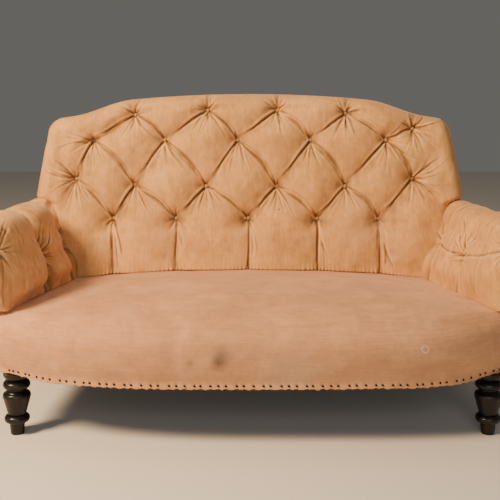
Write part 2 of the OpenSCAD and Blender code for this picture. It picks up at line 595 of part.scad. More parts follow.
module back_webbing() {
    color(hessian) leant() {
        for (x = [-480, -330, -90, 90, 330, 480]) let (e = crest_bottom(abs(x * bx) + web_w / 2) + 18)
            translate([x * bx - web_w / 2, -0.2 - web_t, low_rail_z + 12]) cube([web_w, web_t, e - low_rail_z - 12]);
        for (k = [0:3]) translate([-post_out + 8, -0.4 - 2 * web_t, low_rail_z + low_rail_h + 40 + 92 * bz * k])
            cube([2 * post_out - 16, web_t, web_w]);
    }
}
module back_canvas() {
    xs = [for (i = [-12:12]) (post_out - 3) * i / 12];
    color(hessian) leant() translate([0, -0.6 - 2 * web_t, 0]) rotate([90, 0, 0]) linear_extrude(canvas_t) polygon(concat(
        [for (x = xs) [x, crest_top(x) - (abs(x) > flat_x ? crest_round + 6 : 12)]],
        [[post_out - 3, low_rail_z + 4], [-post_out + 3, low_rail_z + 4]]));
}

// Back covering: a lining tacked over the frame and the outside cover over it, down to the rear rail
panel_t = 1.6;
function panel_ring(c, y, t) = let (
    half = [side_line(y_post) + 4, post_out, arm_back_x, arm_back_x, side_edge(arm_h + 60) - 3, side_edge(back_h - 150) - 3],
    xt = c * (half_w - 22), zt = edge_top(xt) - 30,
    rail_y = y_post + post_ankle + 0.4 + y - post_t,
    low = [[c * half[0], rail_y, leg_h - hem + 1], [c * half[1], rail_y - 8, rail_top]],
    high = [for (k = [2:5]) let (z = [0, 0, edge_z + 60, arm_h, arm_h + 60, min(zt - 8, back_h - 150)][k]) [c * half[k], y, z]],
    line = concat(low, [for (p = high) leant_point(p[0], p[1], up(p[2], p[1]))], [leant_point(xt, y, up(zt, y))]))
    concat(line, [for (p = mirrored(line)) p + [0, t, 0]]);
arm_back_x = post_out + arm_rail_w + 4;
panel_steps = [-1, -0.93, -0.8, -0.66, -0.5, -0.25, 0, 0.25, 0.5, 0.66, 0.8, 0.93, 1];
module back_lining() {
    color(hessian) loft([for (c = panel_steps) panel_ring(c * 0.93, post_t + 0.4, panel_t)], chains = [7, 7]);
}
module outside_back() {
    color(sand) loft([for (c = panel_steps) panel_ring(c, post_t + 0.8 + panel_t, cover_t)], chains = [7, 7]);
}

// Arms: a sawn post, a rail to the rear post, a tacking rail over the seat rail, canvas, pad and outside cover
roll_z0 = arm_h - arm_r;
roll_front = half_w + arm_out;
roll_rear = post_out + arm_rail_w / 2;
post_disc = 45;
arm_rear = arm_y + arm_post_t;
rail_z0 = roll_z0 - arm_rail_h / 2 - 2;
rail_z1 = rail_z0 + arm_rail_h;
function post_face(z) = y_post + (z - rail_top) * tan(lean);
function post_rear(z) = z > rail_top ? post_face(z) + post_t / cos(lean)
    : y_post + post_ankle + (post_t / cos(lean) - post_ankle) * (z - leg_h) / rail_h;
arm_end = post_face(rail_z0) + post_t / cos(lean);
function roll_x(y) = roll_front + (roll_rear - roll_front) * min(1, max(0, (y - arm_rear) / (post_face(rail_z0) - arm_rear)));
function tack_in(y) = arm_foot_x + 2 + (post_out - 37 - arm_foot_x - 2) * (y - arm_rear) / (y_post - arm_rear);
module arm_post(side) {
    color(beech) both(side) union() {
        translate([0, arm_rear, 0]) rotate([90, 0, 0]) linear_extrude(arm_post_t) union() {
            polygon([[arm_foot_x, rail_top], [rail_out, rail_top], [rail_out + 2, edge_z], [rail_out + 12, edge_z + 60],
                [roll_front, roll_z0 - post_disc], [roll_front, roll_z0], [roll_front - post_disc, roll_z0],
                [arm_foot_x + 16, edge_z + 100], [arm_foot_x + 1, edge_z]]);
            translate([roll_front, roll_z0]) circle(post_disc, $fn = 64);
        }
        arm_post_tenon();
    }
}
module arm_rail(side) {
    w = arm_rail_w / 2;
    color(beech) both(side) translate([0, 0, rail_z0]) linear_extrude(arm_rail_h) polygon([
        [roll_front - w, arm_rear + joint_gap], [roll_front + w, arm_rear + joint_gap],
        [post_out + joint_gap + 2 * w, post_face(rail_z0)], [post_out + joint_gap + 2 * w, arm_end],
        [post_out + joint_gap, arm_end],
        [post_out + joint_gap, post_face(rail_z0)]]);
}
tacking_z = rail_top + 44;
tacking_h = 30;
tacking_t = 26;
module arm_tacking_rail(side) {
    y1 = post_face(tacking_z) - joint_gap;
    color(beech) both(side) translate([0, 0, tacking_z]) linear_extrude(tacking_h) polygon([
        [tack_in(arm_rear), arm_rear + joint_gap], [tack_in(arm_rear) + tacking_t, arm_rear + joint_gap],
        [tack_in(y1) + tacking_t, y1], [tack_in(y1), y1]]);
}
arm_canvas_t = 1.5;
function canvas_x(y, z) = let (a = tack_in(y), b = roll_x(y) - arm_rail_w / 2, low = tacking_z + tacking_h)
    (z < low ? a : z > rail_z0 ? b : a + (b - a) * (z - low) / (rail_z0 - low)) - seat_gap;
module arm_canvas(side) {
    y0 = arm_rear + 1;
    zs = [tacking_z + 2, tacking_z + tacking_h, rail_z0, rail_z1 - 3];
    function at(z, t) = y0 + (post_face(z) - pad_t / cos(lean) - 3 - y0) * t;
    color(hessian) both(side) loft([for (k = [0:4]) concat(
        [for (z = zs) let (y = at(z, k / 4)) [canvas_x(y, z), y, z]],
        mirrored([for (z = zs) let (y = at(z, k / 4)) [canvas_x(y, z) - arm_canvas_t, y, z]]))], chains = [4, 4]);
}

// The pad's section runs up its inner face, over the roll and back round the frame; its folds are drawn by buttons
pad_base = edge_z + 1.2;
face_steps = 5;
roll_angles = [for (k = [0:12]) 180 - 20 * k];
arm_nose = arm_front - 4;
function nose_in(y) = let (d = min(1, max(0, (arm_nose + 34 - y) / 34))) 1 - sqrt(1 - 0.985 * d * d);
arm_button_y = [arm_nose + 24, -15 / 323 * frame_d / 2, 150 / 323 * frame_d / 2];
arm_button_z = [arm_h - 48, edge_z + 100, edge_z + 108];
fold_w = [26, 34, 30];
arm_fold = [12, 26, 22];
arm_dent = [16, 34, 28];
function fold(y, k) = exp(-pow((y - arm_button_y[k]) / fold_w[k], 2));
pucker_r = 34;
function arm_dip(y, z, over) = [for (k = [0:2]) fold(y, k) * (arm_fold[k] * (1 - over)
    + (arm_dent[k] - arm_fold[k]) * exp(-pow((z - arm_button_z[k]) / pucker_r, 2)))] * [1, 1, 1];
function face_point(y, k) = let (
    t = k / face_steps, z = pad_base + (roll_z0 - pad_base) * t,
    x = arm_in(y) + (roll_x(y) - arm_r - arm_in(y)) * t - 16 * sin(180 * t), dip = arm_dip(y, z, 0) * smooth(t * 3))
    [x + dip, z];
function roll_point(y, a) = let (over = smooth((150 - a) / 90), z = roll_z0 + arm_r * sin(a),
    r = arm_r - arm_dip(y, z, over) * smooth((a + 40) / 90)) [roll_x(y) + r * cos(a), roll_z0 + r * sin(a)];
function outer_path(y) = concat([for (k = [0:face_steps - 1]) face_point(y, k)], [for (a = roll_angles) roll_point(y, a)]);
disc_gap = (post_disc + 0.4) / cos(22.5);
function nose_path(y) = let (x = rail_out + 3) [[roll_front - 4, roll_z0 - arm_r + 3], [roll_front - 14, roll_z0 - arm_r - 10],
    [x + 20, edge_z + 70], [x + 12, edge_z + 46], [x + 6, edge_z + 28], [x + 3, edge_z + 14], [x + 2, pad_base],
    [x - 18, pad_base]];
function post_path(y) = concat([for (a = [-45:45:180]) [roll_front + disc_gap * cos(a), roll_z0 + disc_gap * sin(a)]],
    [[arm_foot_x + 15, edge_z + 100], [arm_foot_x + 0.4, pad_base]]);
function frame_path(y) = let (
    o = function(z) roll_x(leaned(y, z)) + arm_rail_w / 2 + 0.8,
    i = function(z) canvas_x(leaned(y, z), z) - arm_canvas_t - seat_gap,
    top = rail_z1 + 0.4, mid = edge_z + 100)
    [[o(rail_z0 - 2), rail_z0 - 2], [o(roll_z0), roll_z0], [o(top), top], [(o(top) + i(top)) / 2, top],
    [i(top), top], [i(rail_z0) - 0.1, rail_z0], [i(mid), mid], [i(pad_base), pad_base]];
function pulled(path, y) = let (q = nose_in(y), c = [roll_front - 40, edge_z + 110]) [for (p = path) p + (c - p) * q];
meet_y = y_post - pad_t / cos(lean) - 2;
function leaned(y, z) = y + (z - rail_top) * tan(lean) * smooth((y - 20) / (meet_y - 20));
function arm_ring(y) = let (path = y < arm_y - 0.5 ? nose_path(y) : y < arm_rear + 0.3 ? post_path(y) : frame_path(y))
    [for (p = pulled(concat(outer_path(y), path), y)) [p[0], leaned(y, p[1]), p[1]]];
end_x = post_out + 0.6;
function tail_ring(y) = let (path = frame_path(y),
    rise = [for (k = [0:face_steps + 1]) [end_x, rail_z1 + 0.6 + 3 * k]],
    roll = [for (k = [2:len(roll_angles) - 1]) let (p = roll_point(y, roll_angles[k])) [max(p[0], end_x), p[1]]],
    o = path[0][0], top = [for (k = [0:4]) [o + (end_x + 1 - o) * (k + 1) / 5, rail_z1 + 0.5]])
    [for (p = concat(rise, roll, [path[0], path[1], path[2]], top)) [p[0], leaned(y, p[1]), p[1]]];
tail_y = post_face(rail_z1) - (rail_z1 - rail_top) * tan(lean) + post_t / cos(lean) - 1;
arm_ys = concat([0, 5, 14, 24, 36, 48] + [1, 1, 1, 1, 1, 1] * arm_nose, [arm_y - 0.6, arm_y - 0.1, arm_rear + 0.2, arm_rear + 0.5],
    [for (k = [1:3]) arm_rear + (arm_button_y[1] - 36 - arm_rear) * k / 3],
    [for (d = [-18, 0, 18, 36]) arm_button_y[1] + d], [for (d = [-60, -32, -16, 0, 16]) arm_button_y[2] + d], [meet_y]);
module inside_arm(side) {
    color(sand) both(side) loft(concat([for (y = arm_ys) arm_ring(y)],
        [for (k = [0:4]) tail_ring(meet_y + 0.3 + (tail_y - meet_y - 0.3) * k / 4)]),
        chains = [0, face_steps + len(roll_angles)]);
}
module arm_buttons(side) {
    color(sand) both(side) {
        for (k = [1, 2]) let (y = arm_button_y[k], n = round((arm_button_z[k] - pad_base) / (roll_z0 - pad_base) * face_steps),
            p = face_point(y, n)) translate([p[0], leaned(y, p[1]), p[1]]) rotate([0, -90, 0]) button();
        let (y = arm_button_y[0], p = roll_point(y, 160), q = nose_in(y), c = [roll_front - 40, edge_z + 110], r = p + (c - p) * q)
            translate([r[0], y, r[1]]) rotate([65, 0, 0]) rotate([0, -50, 0]) button();
    }
}
module outside_arm(side) {
    t = 2.4;
    y0 = arm_y + 1;
    zs = [leg_h - hem + 1, rail_top, edge_z, edge_z + 66, rail_z0 - 24];
    function bow(y, j) = let (low = side_line(y) + 0.4, high = roll_x(y) + 4)
        [low, low, low + 2.4, low + 2.4 + (high - low - 2.4) * 0.4, high][j];
    function line(k) = [for (j = [0:4]) let (y = y0 + (post_rear(zs[j]) - 0.6 - y0) * k / 8) [bow(y, j), y, zs[j]]];
    color(sand) both(side) loft([for (k = [0:8]) concat(line(k), mirrored([for (p = line(k)) p + [t, 0, 0]]))],
        chains = [5, 5]);
}

front_leg(-1);  // front_leg_left
front_leg(1);  // front_leg_right
corner_block(-1);  // corner_block_left
corner_block(1);  // corner_block_right
front_rail();
rear_rail();
side_rail(-1);  // side_rail_left
side_rail(1);  // side_rail_right
seat_stretchers();
back_post(-1);  // back_post_left
back_post(1);  // back_post_right
crest_rail();
lower_back_rail();
back_muntins();
arm_post(-1);  // arm_post_left
arm_post(1);  // arm_post_right
arm_rail(-1);  // arm_rail_left
arm_rail(1);  // arm_rail_right
arm_tacking_rail(-1);  // arm_tacking_rail_left
arm_tacking_rail(1);  // arm_tacking_rail_right
seat_webbing();
seat_springs();
spring_lacing();
seat_canvas();
edge_roll();
seat_stuffing();
seat_cover();
front_tacks();
bottom_cloth();
back_webbing();
back_canvas();
inside_back();
back_buttons();
back_lining();
outside_back();
arm_canvas(-1);  // arm_canvas_left
arm_canvas(1);  // arm_canvas_right
inside_arm(-1);  // inside_arm_left
inside_arm(1);  // inside_arm_right
arm_buttons(-1);  // arm_buttons_left
arm_buttons(1);  // arm_buttons_right
outside_arm(-1);  // outside_arm_left
outside_arm(1);  // outside_arm_right
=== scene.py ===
import math

import bpy
import numpy as np
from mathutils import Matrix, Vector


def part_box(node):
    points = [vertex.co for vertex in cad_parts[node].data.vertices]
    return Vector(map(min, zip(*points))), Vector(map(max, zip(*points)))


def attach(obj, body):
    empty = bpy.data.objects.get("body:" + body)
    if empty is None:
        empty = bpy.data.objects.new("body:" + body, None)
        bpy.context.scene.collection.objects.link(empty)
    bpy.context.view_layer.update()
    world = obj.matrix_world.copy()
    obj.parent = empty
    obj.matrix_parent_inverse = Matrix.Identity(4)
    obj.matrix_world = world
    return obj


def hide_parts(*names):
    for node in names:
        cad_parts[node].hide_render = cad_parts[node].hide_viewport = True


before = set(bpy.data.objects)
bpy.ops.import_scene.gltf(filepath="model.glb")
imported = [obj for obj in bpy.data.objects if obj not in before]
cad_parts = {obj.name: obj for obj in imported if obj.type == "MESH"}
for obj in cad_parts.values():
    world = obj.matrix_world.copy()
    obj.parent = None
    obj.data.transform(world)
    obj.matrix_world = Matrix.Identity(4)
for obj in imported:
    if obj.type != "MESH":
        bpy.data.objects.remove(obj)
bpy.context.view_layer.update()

# Camera: it stands in front of the seat, a little left of its middle and level with the top of the back, and
# looks 4 degrees down. The two shifts move the picture within the frame as the photograph was cropped.
camera_data = bpy.data.cameras.new("camera")
camera = bpy.data.objects.new("camera", camera_data)
bpy.context.scene.collection.objects.link(camera)
camera.location = (-0.0465, -2.4933, 0.9003)
camera.rotation_euler = (math.radians(90 - 4.011), 0, 0)
camera_data.sensor_width = 36
camera_data.lens = 59.82
camera_data.shift_x = 0.0285
camera_data.shift_y = -0.17
camera_data.clip_start = 0.05
bpy.context.scene.camera = camera


# Studio: a pale floor sheet, one warm key lamp from the front left, a broad fill from the front, a weak
# lamp overhead and an even grey-white surround. None of it belongs to the object.
def linear(code):
    """sRGB hex to linear RGBA: c / 12.92 below 0.04045, else ((c + 0.055) / 1.055) to the power 2.4."""
    c = np.array([int(code[i:i + 2], 16) for i in (1, 3, 5)]) / 255
    c = np.where(c <= 0.04045, c / 12.92, ((c + 0.055) / 1.055) ** 2.4)
    return (*c.tolist(), 1.0)


def add_node(tree, kind, settings=(), *values, **named):
    """Adds one node with its settings. Values go to its open inputs in order, or by name, and a node or a
    socket among them is linked."""
    node = tree.nodes.new(kind)
    for key, value in dict(settings).items():
        setattr(node, key, value)
    sockets = [s for s in node.inputs if s.enabled]
    pairs = list(zip(sockets, values))
    by_name = {socket.name: socket for socket in reversed(sockets)}
    pairs += [(by_name[key.replace("_", " ")], value) for key, value in named.items()]
    for socket, value in pairs:
        if isinstance(value, bpy.types.Node):
            value = next(s for s in value.outputs if s.enabled)
        if isinstance(value, bpy.types.NodeSocket):
            tree.links.new(value, socket)
        elif value is not None:
            socket.default_value = value
    return node


def new_material(name, **values):
    """A material with its shader's own values set by name: itself, its node tree, its shader and a socket
    with the object's coordinates."""
    material = bpy.data.materials.new(name)
    material.use_nodes = True
    tree = material.node_tree
    shader = tree.nodes["Principled BSDF"]
    for key, value in values.items():
        shader.inputs[key.replace("_", " ")].default_value = value
    return material, tree, shader, add_node(tree, "ShaderNodeTexCoord").outputs["Object"]


def noise(tree, place, size, detail=2.0, roughness=0.5, distortion=0.0):
    """Noise with hills of about the given size in metres."""
    return add_node(tree, "ShaderNodeTexNoise", Vector=place, Scale=1 / size, Detail=detail,
                    Roughness=roughness, Distortion=distortion)


def ramp(tree, value, low, high, first=0.0, last=1.0):
    """The straight line from (low, first) to (high, last), level beyond its ends."""
    return add_node(tree, "ShaderNodeMapRange", {}, value, low, high, first, last).outputs[0]


def mix(tree, amount, first, last):
    """The colour between first and last, each a socket or an sRGB hex."""
    first, last = (linear(colour) if isinstance(colour, str) else colour for colour in (first, last))
    return add_node(tree, "ShaderNodeMix", {"data_type": "RGBA"}, amount, first, last).outputs[2]


def wire_up(tree, shader, tone, rough=None, height=None, strength=0.0, depth=0.0):
    """Links the colour, and where given the roughness and a bump of this height field, strength and
    depth."""
    tree.links.new(tone, shader.inputs["Base Color"])
    if rough is not None:
        tree.links.new(rough, shader.inputs["Roughness"])
    if height is not None:
        bump = add_node(tree, "ShaderNodeBump", {}, Strength=strength, Distance=depth, Height=height)
        tree.links.new(bump.outputs[0], shader.inputs["Normal"])


floor_mesh = bpy.data.meshes.new("studio_floor")
floor_mesh.from_pydata([(-9, -7, 0), (9, -7, 0), (9, 9, 0), (-9, 9, 0)], [], [(0, 1, 2, 3)])
floor = bpy.data.objects.new("studio_floor", floor_mesh)
bpy.context.scene.collection.objects.link(floor)
floor_paint, tree, shader, place = new_material("matt_floor_paint", Roughness=0.75)
patch = add_node(tree, "ShaderNodeTexNoise", Scale=1.5, Detail=3.0)
wire_up(tree, shader, mix(tree, patch, "#D9D2C8", "#E2DCD3"))
floor_mesh.materials.append(floor_paint)


def area_lamp(name, place, aim, size, power, colour):
    """A square area lamp at place that faces aim."""
    data = bpy.data.lights.new(name, "AREA")
    data.size = size
    data.energy = power
    data.color = linear(colour)[:3]
    lamp = bpy.data.objects.new(name, data)
    bpy.context.scene.collection.objects.link(lamp)
    lamp.location = place
    x, y, z = np.array(aim, float) - np.array(place, float)
    lamp.rotation_euler = (math.atan2(math.hypot(x, y), -z), 0, math.atan2(y, x) - math.pi / 2)


area_lamp("key", (-2.3, -1.6, 2.5), (0.15, 0.0, 0.45), 0.9, 250, "#FFDDB0")
area_lamp("fill", (0.1, -3.9, 1.3), (0.2, 0, 0.35), 2.4, 48, "#EFF1FA")
area_lamp("top", (0.2, 0.5, 3.1), (0, 0.1, 0.4), 2.2, 14, "#FFF8EF")
world = bpy.data.worlds.new("studio")
bpy.context.scene.world = world
world.use_nodes = True
world.node_tree.nodes["Background"].inputs["Color"].default_value = linear("#E6E2DA")
world.node_tree.nodes["Background"].inputs["Strength"].default_value = 0.17


# Seat cover: mohair velvet stretched over the stuffed seat, pulled down over the bowed front rail and
# tacked along its lower edge. The front edge swells out over the rail, and the crown falls away towards the
# arms.
HALF_W = 0.690
Y_FRONT = -0.384
BOW = 0.129
BOW_POWER = 3.5
CORNER_R = 0.040
Y_POST = 0.262
RAIL_TOP = 0.252
HEM_Z = 0.168
EDGE_Z = 0.340
LEAN = math.radians(8.15)
POST_OUT = 0.672
POST_T = 0.035
CORNER_A = math.atan(BOW * BOW_POWER / HALF_W)
CORNER_X = HALF_W - CORNER_R * math.sin(CORNER_A)
CORNER_Y = Y_FRONT + BOW + CORNER_R * math.cos(CORNER_A)
LEG_X = 0.650
ARM_FRONT = CORNER_Y - 0.060
SEAT_BACK = Y_POST - 0.005
UNDER_Z = 0.3203
RAIL_OUT = CORNER_X + CORNER_R - 0.0043
SEAT_SIDE = RAIL_OUT - 0.033
SEAT_REAR_X = POST_OUT - 0.042
CROWN = 0.042
COVER_T = 0.0028
TACK_STEP = 0.0225
SIDE_SHARE = 0.16


def smooth(t):
    """0 below 0, 1 above 1, and 3t^2 - 2t^3 between."""
    t = np.clip(t, 0, 1)
    return t * t * (3 - 2 * t)


def ripple(a, b, seed):
    """Smooth random hills of unit size, from -1 to 1: random heights on a grid, smoothly blended."""
    table = np.random.default_rng(seed).uniform(-1, 1, (64, 64))
    ia, ib = np.floor(a).astype(int), np.floor(b).astype(int)
    fa, fb = smooth(a - ia), smooth(b - ib)
    pick = lambda i, j: table[i % 64, j % 64]
    low = pick(ia, ib) * (1 - fa) + pick(ia + 1, ib) * fa
    high = pick(ia, ib + 1) * (1 - fa) + pick(ia + 1, ib + 1) * fa
    return low * (1 - fb) + high * fb


def points(*parts):
    """The parts, numbers or arrays, side by side on a new last axis."""
    return np.stack(np.broadcast_arrays(*parts), axis=-1)


def skin(name, rings, chain=0, turned=None, attributes=None):
    """Closed shells through rings of points, an (n, m, 3) array or (k, n, m, 3) for k shells in one mesh.
    Each end is closed by a fan about its middle, or by a strip between the ring's first `chain` points and
    the rest run backwards. turned picks the other diagonal of a quad."""
    rings = rings if rings.ndim == 4 else rings[None]
    k, n, m, _ = rings.shape
    corners = np.concatenate([rings.reshape(k, -1, 3), rings[:, [0, -1]].mean(axis=2)], axis=1)
    i, j = np.meshgrid(np.arange(n - 1), np.arange(m), indexing="ij")
    a, b = i * m + j, i * m + (j + 1) % m
    c, d = b + m, a + m
    cut = np.zeros(a.shape, bool) if turned is None else turned
    first = np.where(cut[..., None], points(a, b, d), points(a, b, c))
    second = np.where(cut[..., None], points(b, c, d), points(a, c, d))
    if chain:
        s = np.arange(m - 2)
        share = (chain - 1) / (m - 2)
        p, q = np.floor(s * share + 0.5).astype(int), np.floor((s + 1) * share + 0.5).astype(int)
        start = points(p, m - 1 - s + p, np.where(q > p, q, m - 2 - s + p))
        end = start[:, ::-1] + (n - 1) * m
    else:
        e = np.arange(m)
        start = points(n * m, (e + 1) % m, e)
        end = points(n * m + 1, (n - 1) * m + e, (n - 1) * m + (e + 1) % m)
    faces = np.concatenate([first.reshape(-1, 3), second.reshape(-1, 3), start, end])
    one = corners[0]
    if np.einsum("ij,ij->", one[faces[:, 0]], np.cross(one[faces[:, 1]], one[faces[:, 2]])) < 0:
        faces = faces[:, ::-1]
    faces = (faces[None] + np.arange(k)[:, None, None] * corners.shape[1]).reshape(-1, 3)
    mesh = bpy.data.meshes.new(name)
    mesh.vertices.add(corners.size // 3)
    mesh.vertices.foreach_set("co", corners.ravel())
    mesh.loops.add(faces.size)
    mesh.loops.foreach_set("vertex_index", faces.ravel().astype(np.int32))
    mesh.polygons.add(len(faces))
    mesh.polygons.foreach_set("loop_start", np.arange(len(faces), dtype=np.int32) * 3)
    mesh.polygons.foreach_set("use_smooth", np.ones(len(faces), bool))
    mesh.update(calc_edges=True)
    for key, values in (attributes or {}).items():
        full = np.concatenate([values.reshape(k, -1), np.zeros((k, 2))], axis=1).ravel().astype(np.float32)
        mesh.attributes.new(key, "FLOAT", "POINT").data.foreach_set("value", full)
    piece = bpy.data.objects.new(name, mesh)
    bpy.context.scene.collection.objects.link(piece)
    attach(piece, "root")
    return piece


def front_y(x):
    """The bow of the seat front: its depth rises with the 3.5th power of the distance from the middle."""
    return Y_FRONT + BOW * (np.abs(x) / HALF_W) ** BOW_POWER


def bow_angle(x):
    """Angle of the bow's tangent, the arc tangent of the slope of front_y."""
    return np.sign(x) * np.arctan(BOW * BOW_POWER / HALF_W * (np.abs(x) / HALF_W) ** (BOW_POWER - 1))


def seat_line(count):
    """Points (x, y, nx, ny) at even steps along the seat front: the bow, then a round corner at each end."""
    x = np.linspace(-HALF_W, HALF_W, 3001)
    a = bow_angle(x)
    bow = points(x, front_y(x), np.sin(a), -np.cos(a))
    c = np.linspace(CORNER_A, math.radians(90), 200)[1:]
    right = points(CORNER_X + CORNER_R * np.sin(c), CORNER_Y - CORNER_R * np.cos(c), np.sin(c), -np.cos(c))
    left = (right * (-1, 1, -1, 1))[::-1]
    line = np.concatenate([left, bow, right])
    run = np.concatenate([[0], np.cumsum(np.linalg.norm(np.diff(line[:, :2], axis=0), axis=1))])
    at = np.linspace(0, run[-1], count)
    return np.stack([np.interp(at, run, line[:, k]) for k in range(4)], axis=1)


def hem_height(x):
    """The cover's lower edge: it rises by 6 mm over each leg and hangs 5 mm lower at the right."""
    arch = np.cos(np.radians(np.minimum(90, np.abs(np.abs(x) - LEG_X - 0.008) * 750))) ** 2
    return HEM_Z + 0.006 * arch - 0.005 * smooth((x / HALF_W - 0.42) / 0.25) * (1 - arch)


def arm_in(y):
    """Half-distance between the arms where they meet the seat: they close in towards the back."""
    t = (y - ARM_FRONT) / (SEAT_BACK - 0.062 - ARM_FRONT)
    return SEAT_SIDE + 0.0037 - 0.075 * t - 0.042 * t * t


def seat_top(x, y):
    """Height of the seat: a crown that falls to the arms, to the front edge and a little to the back."""
    across = np.maximum(0, 1 - (np.abs(x) / (arm_in(np.maximum(y, ARM_FRONT)) - 0.014)) ** 2.6)
    return EDGE_Z + CROWN * across * (1 - 0.45 * smooth((y + 0.06) / (SEAT_BACK + 0.06))) \
        * smooth((y - front_y(x)) / 0.26 + 0.25)


def spline(controls, t):
    """Smooth curves through controls (n, k, 3) at t from 0 to k - 1: each span is the Catmull-Rom cubic."""
    k = controls.shape[1]
    i = np.clip(np.floor(t).astype(int), 0, k - 2)
    f = (t - i)[None, :, None]
    p0, p1 = controls[:, np.maximum(i - 1, 0)], controls[:, i]
    p2, p3 = controls[:, i + 1], controls[:, np.minimum(i + 2, k - 1)]
    return p1 + 0.5 * f * (p2 - p0 + f * (2 * p0 - 5 * p1 + 4 * p2 - p3 + f * (3 * (p1 - p2) + p3 - p0)))


def tack_x(i):
    """Place of tack i across the seat: even steps that stray a little, closer near the left leg."""
    return TACK_STEP * i + 0.0032 * np.sin(np.radians(137.5 * i)) + 0.0024 * np.sin(np.radians(29 * i)) \
        + 0.005 * np.maximum(0, -25 - i)


# Front: one profile carried along the bow. It starts at the hem, swells out and turns over the edge.
TACKS = tack_x(np.arange(-31, 31))
line = seat_line(430)
x, y, nx, ny = line.T
swell = 0.024 * (0.35 + 0.65 * np.abs(ny))
path = np.array([[0, 0], [0, 0.22], [0.42, 0.53], [0.83, 0.93], [1, 1.32], [0.75, 1.64], [-0.1, 1.91]])
front = np.stack([points(x + nx * swell * p, y + ny * swell * p, HEM_Z + 0.172 * q / 2.05) for p, q in path],
                 axis=1)
lip_out = -0.030 * (0.4 + 0.6 * np.abs(ny))
lip = points(x + nx * lip_out, y + ny * lip_out)

# Top: straight runs from the front lip to the back, and near each end to the side of the seat under the arm.
reach = np.clip((np.abs(x) - (1 - SIDE_SHARE) * HALF_W) / (SIDE_SHARE * HALF_W), 0, 1)
side_y = SEAT_BACK + (CORNER_Y + 0.004 - SEAT_BACK) * reach
side_x = SEAT_SIDE + (SEAT_REAR_X - SEAT_SIDE) * (side_y - CORNER_Y) / (SEAT_BACK - CORNER_Y)
turn_in = CORNER_Y + 0.0039 - 0.0036 * (ny + math.cos(CORNER_A)) / math.cos(CORNER_A)
rear_y = np.where(reach < 1, side_y, turn_in)
rear_x = np.where(reach <= 0, x * SEAT_REAR_X / ((1 - SIDE_SHARE) * HALF_W),
                  np.sign(x) * np.where(reach < 1, side_x, SEAT_SIDE))
rear = points(rear_x, rear_y)
run = np.linspace(0, 1, 96)[None, :, None]
top = lip[:, None] * (1 - run) + rear[:, None] * run
top = np.concatenate([top, seat_top(top[..., 0], top[..., 1])[..., None]], axis=2)
rise = np.linspace(0, 7, 64)
hung = spline(np.concatenate([front, top[:, :1], top[:, 12:13]], axis=1), rise)
face = np.concatenate([hung, top[:, 1:]], axis=1)
down = np.concatenate([1 - rise / 7, np.zeros(95)])
outward = points(nx, ny, 0)[:, None]

# Hem: scalloped and dimpled where the tacks pin it, with gathers at the legs and slack in the rest.
gap_to_tack = np.abs(x[:, None] - TACKS[None]).min(axis=1)
scallop = 0.0014 * np.cos(np.pi * np.minimum(1, gap_to_tack / 0.0125)) + 0.0009 * ripple(x * 170, 0 * x, 4)
low = np.clip(1 - (face[..., 2] - HEM_Z) / 0.02, 0, 1)
face[..., 2] += low * ((hem_height(x) - HEM_Z + scallop)[:, None])
tack_pull = np.exp(-(gap_to_tack / 0.0042) ** 2)[:, None]
above = face[..., 2] - hem_height(x)[:, None] - 0.009
dimple = -0.0012 * tack_pull * np.exp(-(above / 0.005) ** 2)
drag = -0.0007 * tack_pull * np.exp(-np.maximum(above, 0) / 0.014) * (above > -0.004)
at_leg = smooth(1 - np.abs(np.abs(x) - 0.688) / 0.045) * np.where(x < 0, 1.0, 0.6)
pleats = 0.0017 * np.sin(x * 2 * np.pi / 0.0115 + 2.2 * ripple(x * 45, 0 * x, 8))[:, None] \
    * at_leg[:, None] * smooth((face[..., 2] - 0.175) / 0.02) * smooth((0.285 - face[..., 2]) / 0.07)
slack = 0.0016 * ripple(face[..., 0] * 9 + 30, face[..., 2] * 16 + face[..., 1] * 7 + 9, 11) \
    + 0.0007 * ripple(face[..., 0] * 24 + 30, face[..., 2] * 33 + face[..., 1] * 21 + 9, 12)
hanging = smooth(down * 4)
relief = dimple + drag + pleats + slack * smooth((face[..., 2] - 0.19) / 0.04)
face += outward * (relief * hanging)[..., None]
face[..., 2] += slack * (1 - hanging) * 1.3

# Underside: the cover's hidden back, down over the edge roll and the rail to the hem.
inside = [(-0.028, UNDER_Z), (0.0006, UNDER_Z), (0.002, 0.299), (0.0026, 0.282), (0.0065, 0.2648),
          (0.0013, 0.2552), (-0.004, 0.250)]
inner = [points(rear_x, rear_y, UNDER_Z), *(points(x + nx * p, y + ny * p, q) for p, q in inside),
         points(x - nx * COVER_T, y - ny * COVER_T, face[:, 0, 2])]
rings = np.concatenate([face, np.stack(inner, axis=1)], axis=1)


def worn_by(height, reach):
    """How far each point of a relief lies below (1) or above (-1) its surroundings: the relief blurred
    twenty times by the weights 1, 2, 1 along both ways of its grid, less the relief itself, over reach."""
    blurred = height
    for _ in range(20):
        for way in (0, 1):
            padded = np.concatenate([blurred.take([0], way), blurred, blurred.take([-1], way)], axis=way)
            count = blurred.shape[way]
            before, here, after = (padded.take(np.arange(k, count + k), way) for k in (0, 1, 2))
            blurred = (before + 2 * here + after) / 4
    return np.clip((blurred - height) / reach, -1, 1)


